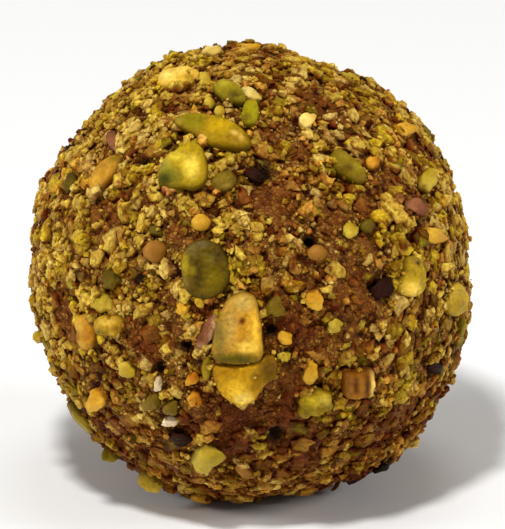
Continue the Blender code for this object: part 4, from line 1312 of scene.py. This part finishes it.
def treeOf(rows):
    # finds the rows whose direction is near another
    tree = kdtree.KDTree(len(rows))
    for index, row in enumerate(rows):
        tree.insert(row[0], index)
    tree.balance()
    return tree


pieceTree = treeOf(footprints)


def onPiece(direction, length=0):
    # how deep inside a larger piece's outline a crumb of that length is, 1 at its middle, and the piece's
    # height there
    inside, top = 0, 0
    grown = crumbMargin * length
    for _, index, _ in pieceTree.find_range(direction, nearby["pieces"]):
        spot, longAxis, wideAxis, height = footprints[index]
        step = (direction - spot) * coreRadius
        halfLength, halfWidth = longAxis.length, wideAxis.length
        along, aside = step.dot(longAxis) / halfLength, step.dot(wideAxis) / halfWidth
        inside = max(inside, 1 - (along / (halfLength + grown)) ** 2 - (aside / (halfWidth + grown)) ** 2)
        here = max(1 - (along / halfLength) ** 2 - (aside / halfWidth) ** 2, 0)
        top = max(top, height * here**0.35)
    return inside, top


def crumbDirection(gather, rng):
    if rng.random() < gather:
        spot, longAxis, wideAxis, _ = rng.choice(footprints)
        angle = rng.uniform(0, math.tau)
        reach = rng.uniform(0.88, 1.15) / coreRadius
        return (spot + (longAxis * math.cos(angle) + wideAxis * math.sin(angle)) * reach).normalized()
    return strayVector(rng).normalized()


toneNames = list(crumbTones)


def toneShares(direction):
    left = clamp(max(0.5 - 0.95 * direction.x, 3 * direction.x - 2.3))
    left *= 1 - 0.8 * clamp(-direction.z * 1.6)  # browner under the ball
    return [blend(right, leftShare, left) for _, leftShare, right in crumbTones.values()]


def toneRank(direction, rng):
    gathered = 0.5
    for waves, amount in zip(clusters["toneWaves"], clusters["toneAmount"]):
        gathered -= amount * noise.noise(direction * waves + Vector((3, 8, 1)))
    return blend(gathered, rng.random(), clusters["luck"])


def toneAt(shares, rank):
    # the tone that the rank falls on, from the lightest at 0 to the darkest at 1
    rank *= sum(shares)
    for name, share in zip(toneNames, shares):
        rank -= share
        if rank < 0:
            return name
    return toneNames[-1]


def makeClumps(rng):
    # direction, reach, tone and brightness of every clump
    made = []
    while len(made) < clumps["number"]:
        direction = strayVector(rng).normalized()
        reach = rng.uniform(*clumps["reach"]) * mm
        rank = toneRank(direction, rng) * clumps["darkest"]
        if onPiece(direction)[0] < 0.6 and rng.random() > bareAt(direction) + pitAt(direction):
            made.append((direction, reach, toneAt(toneShares(direction), rank), rng.uniform(0.8, 1.15)))
    return made


crumbsPlaced = []  # direction, reach and top of every crumb, in metres over the paste


def heightUnder(direction, crumbTree):
    # how high the crumbs of the layers below it reach there
    under = 0
    for _, index, distance in crumbTree.find_range(direction, nearby["crumbs"]):
        _, reach, top = crumbsPlaced[index]
        away = distance * coreRadius / reach
        if away < 1:
            under = max(under, top * math.sqrt(1 - away * away))
    return under


def crumbColours(tone, direction, top, clump, rng):
    # of its one end, its other end and its sides; top is its height over the paste. Crumbs that lie low, by a
    # pit and under the ball, and every crumb's sides get painted shade
    shown = clamp((top - depthShade["low"]) / (depthShade["high"] - depthShade["low"]))
    stainAndShade = depthShade["stainAndShade"] * (1 - shown)
    bright = depthShade["dark"] + (depthShade["light"] - depthShade["dark"]) * shown
    cluster = 1
    for waves, amount in zip(clusters["waves"], clusters["amount"]):
        cluster += amount * noise.noise(direction * waves)
    chance = rng.uniform(*shading["chance"])
    bright *= max(cluster, shading["dimmest"]) * (1 - shading["pit"] * pitAt(direction))
    bright *= blend(chance, 1.02, clumps["evenness"]) if clump else chance
    bright *= 1 - shading["under"] * clamp(-direction.z * 1.3)
    bright *= 1 - shading["moist"] * moistAt(direction)
    if clump:
        bright *= clump[3]
    colour = np.array(srgb(*crumbTones[tone][0]))
    other = blend(colour, np.array(srgb(*crumbTones[rng.choice(toneNames)][0])), 0.15 if clump else 0.3)
    colour = blend(deepen(colour, bright), pasteAndShadeTone, stainAndShade)
    other = blend(deepen(other, bright * rng.uniform(*shading["otherEnd"])), pasteAndShadeTone, stainAndShade)
    edgeBright, clingingAndShade = clumps["edge"] if clump else looseEdge
    return colour, other, blend(deepen(colour, edgeBright), pasteAndShadeTone * 1.5, clingingAndShade)


def scatterCrumbs(kind, rng):
    layer = crumbLayers[kind]
    crumbTree = treeOf(crumbsPlaced)
    ofNut, ofPaste = [], []
    while len(ofNut) + len(ofPaste) < layer["number"]:
        direction = crumbDirection(layer["gather"], rng)
        luck, toneLuck = rng.random(), rng.random()
        low, high = layer["lengths"]
        length = (low + (high - low) * rng.random() ** 1.5) * mm
        slender = rng.uniform(0.55, 0.95)
        thickness = length * rng.uniform(*layer["flat"])
        number = rng.randrange(variety[kind])
        clump = rng.choice(crumbClumps) if rng.random() < layer["clumped"] else None
        dome = 0
        if clump:
            step = strayVector(rng, 0.5)
            step -= clump[0] * step.dot(clump[0])
            direction = (clump[0] + step * clump[1] / coreRadius).normalized()
            dome = max(1 - step.length_squared, 0) * clumps["rise"] * clump[1]
        inside, base = onPiece(direction, length)
        onRim = not clump and rng.random() < layer["rim"]
        if onRim:
            spot, rimHeight = rng.choice(rims)
            direction = (spot + strayVector(rng) * 0.16 * mm / coreRadius).normalized()
            base = rimHeight * rng.uniform(0.2, 0.8)
        if inside > 0.35 and luck > layer["onPiece"] and not onRim:
            continue
        if inside <= 0.35 and overPit(direction, length):
            continue
        recessed = noise.noise(direction * pasteRelief["clods"][0]) < recesses["level"]
        if recessed and luck > recesses["rare"] and not clump:
            continue
        bare = bareAt(direction)
        if luck > 1 - bare * (1 - layer["onBare"]) and not onRim:
            continue
        under = heightUnder(direction, crumbTree)
        if under > layer["limit"] * mm or (under > 0.2 * mm and rng.random() > layer["onCrumb"]):
            continue
        base = max(base, under, dome)
        shares = toneShares(direction)
        shares[toneNames.index("pasteBrown")] *= layer["pasty"]
        rank = toneRank(direction, rng)
        if rng.random() < layer["pale"]:
            rank *= 0.35
        tone = toneAt(shares, rank)
        if clump and rng.random() < clumps["loyalty"]:
            tone = clump[2]
        elif toneLuck < bare * 0.85:
            tone = "pasteBrown"
        tipAxis = boxVector(rng).normalized()
        lying = Matrix.Rotation(rng.gauss(0, layer["tip"]), 3, tipAxis)
        _, longAxis, wideAxis, _ = seatAt(direction, length, length * slender, rng.uniform(0, math.tau))
        axes = tuple(lying @ axis for axis in (longAxis, wideAxis, direction * thickness / 2))
        height = base * 0.8 + thickness * (0.5 - layer["sink"])
        middle = centre + direction * (pasteRadius(direction) + height)
        top = height + thickness / 2
        colours = crumbColours(tone, direction, top, clump, rng)
        (ofPaste if tone == "pasteBrown" else ofNut).append((number, middle, axes, colours))
        crumbsPlaced.append((direction, length / 2, top))
    return ofNut, ofPaste


crumbRng = random.Random(31)
crumbClumps = makeClumps(random.Random(57))
pasteCopies = {}
for kind in crumbLayers:
    nuts, pasteCopies[kind] = scatterCrumbs(kind, crumbRng)
    print(f"{kind}: {len(nuts)} of nut, {len(pasteCopies[kind])} of paste")
    coat.append(joinForms(crumbNames[kind], placeCopies(kind, nuts), materials["nutCrumb"], choppedAngle))
pasteForms = [form for kind, copies in pasteCopies.items() for form in placeCopies(kind, copies)]
coat.append(joinForms("pasteCrumbs", pasteForms, materials["pasteCrumb"]))

for piece in (datePaste, *coat):
    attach(piece, "root")

studio = {
    "floorSize": 3.0,
    "floorColour": (0.93, 0.93, 0.92),
    "floorDim": 0.985,  # how bright its dimmest parts are
    "floorClouds": 6,
    "floorRoughness": 0.9,
    "worldColour": (1.0, 0.98, 0.95),
    "worldStrength": 0.18,
    # place, size and power of each soft light
    "lights": (
        ("keyLight", (-0.11, -0.35, 0.68), 0.10, 4.1),
        ("topLight", (0.08, 0.10, 0.72), 0.3, 0.8),
        ("rightLight", (0.70, -0.15, 0.35), 0.25, 2.2),
        ("leftLight", (-0.70, -0.15, 0.35), 0.25, 2.0),
    ),
}
view = {"distance": 1.5, "pixelsPerMm": 11.05, "width": 505, "height": 529, "centre": (250.5, 275.1)}


def makeFloor():
    floor = startShape(bpy.ops.mesh.primitive_plane_add, size=studio["floorSize"])
    floor.name = "studioFloor"
    material, tree, shader = newMaterial("studioFloor")
    colour = studio["floorColour"]
    dimmer = [part * studio["floorDim"] for part in colour]
    clouds = {"Vector": objectPlace(tree, (-900, 0)), "Scale": studio["floorClouds"]}
    cloud = addNode(tree, "TexNoise", (-700, 0), clouds).outputs["Fac"]
    paper = mix(tree, (-400, 0), cloud, colour, dimmer)
    fillInputs(tree, shader, {"Base Color": paper, "Roughness": studio["floorRoughness"]})
    floor.data.materials.append(material)
    floor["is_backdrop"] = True


def makeLights():
    world = bpy.data.worlds.new("studio")
    world.use_nodes = True
    background = world.node_tree.nodes["Background"]
    background.inputs["Color"].default_value = (*studio["worldColour"], 1)
    background.inputs["Strength"].default_value = studio["worldStrength"]
    bpy.context.scene.world = world
    for name, place, size, power in studio["lights"]:
        lamp = bpy.data.lights.new(name, "AREA")
        lamp.shape = "DISK"
        lamp.size = size
        lamp.energy = power
        light = bpy.data.objects.new(name, lamp)
        light.location = place
        light.rotation_euler = (centre - light.location).to_track_quat("-Z", "Y").to_euler()
        bpy.context.scene.collection.objects.link(light)


def makeCamera():
    camera = bpy.data.cameras.new("camera")
    camera.sensor_fit = "VERTICAL"
    camera.sensor_height = 24
    camera.lens = camera.sensor_height * view["distance"] / (view["height"] / view["pixelsPerMm"] * mm)
    aside = (view["width"] / 2 - view["centre"][0]) / view["pixelsPerMm"] * mm
    above = (view["centre"][1] - view["height"] / 2) / view["pixelsPerMm"] * mm
    target = centre + across * aside + up * above
    spot = bpy.data.objects.new("camera", camera)
    spot.location = target + toward * view["distance"]
    spot.rotation_euler = (math.pi / 2 - ball["faceTilt"], 0, 0)
    camera.clip_end = 10
    bpy.context.scene.collection.objects.link(spot)
    bpy.context.scene.camera = spot


makeFloor()
makeLights()
makeCamera()
bpy.context.scene.view_settings.view_transform = "Standard"
print("studio ready")

boxes = {"cad": cadBox, "visual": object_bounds()}
{name: [list(map(float, corner)) for corner in box] for name, box in boxes.items()}
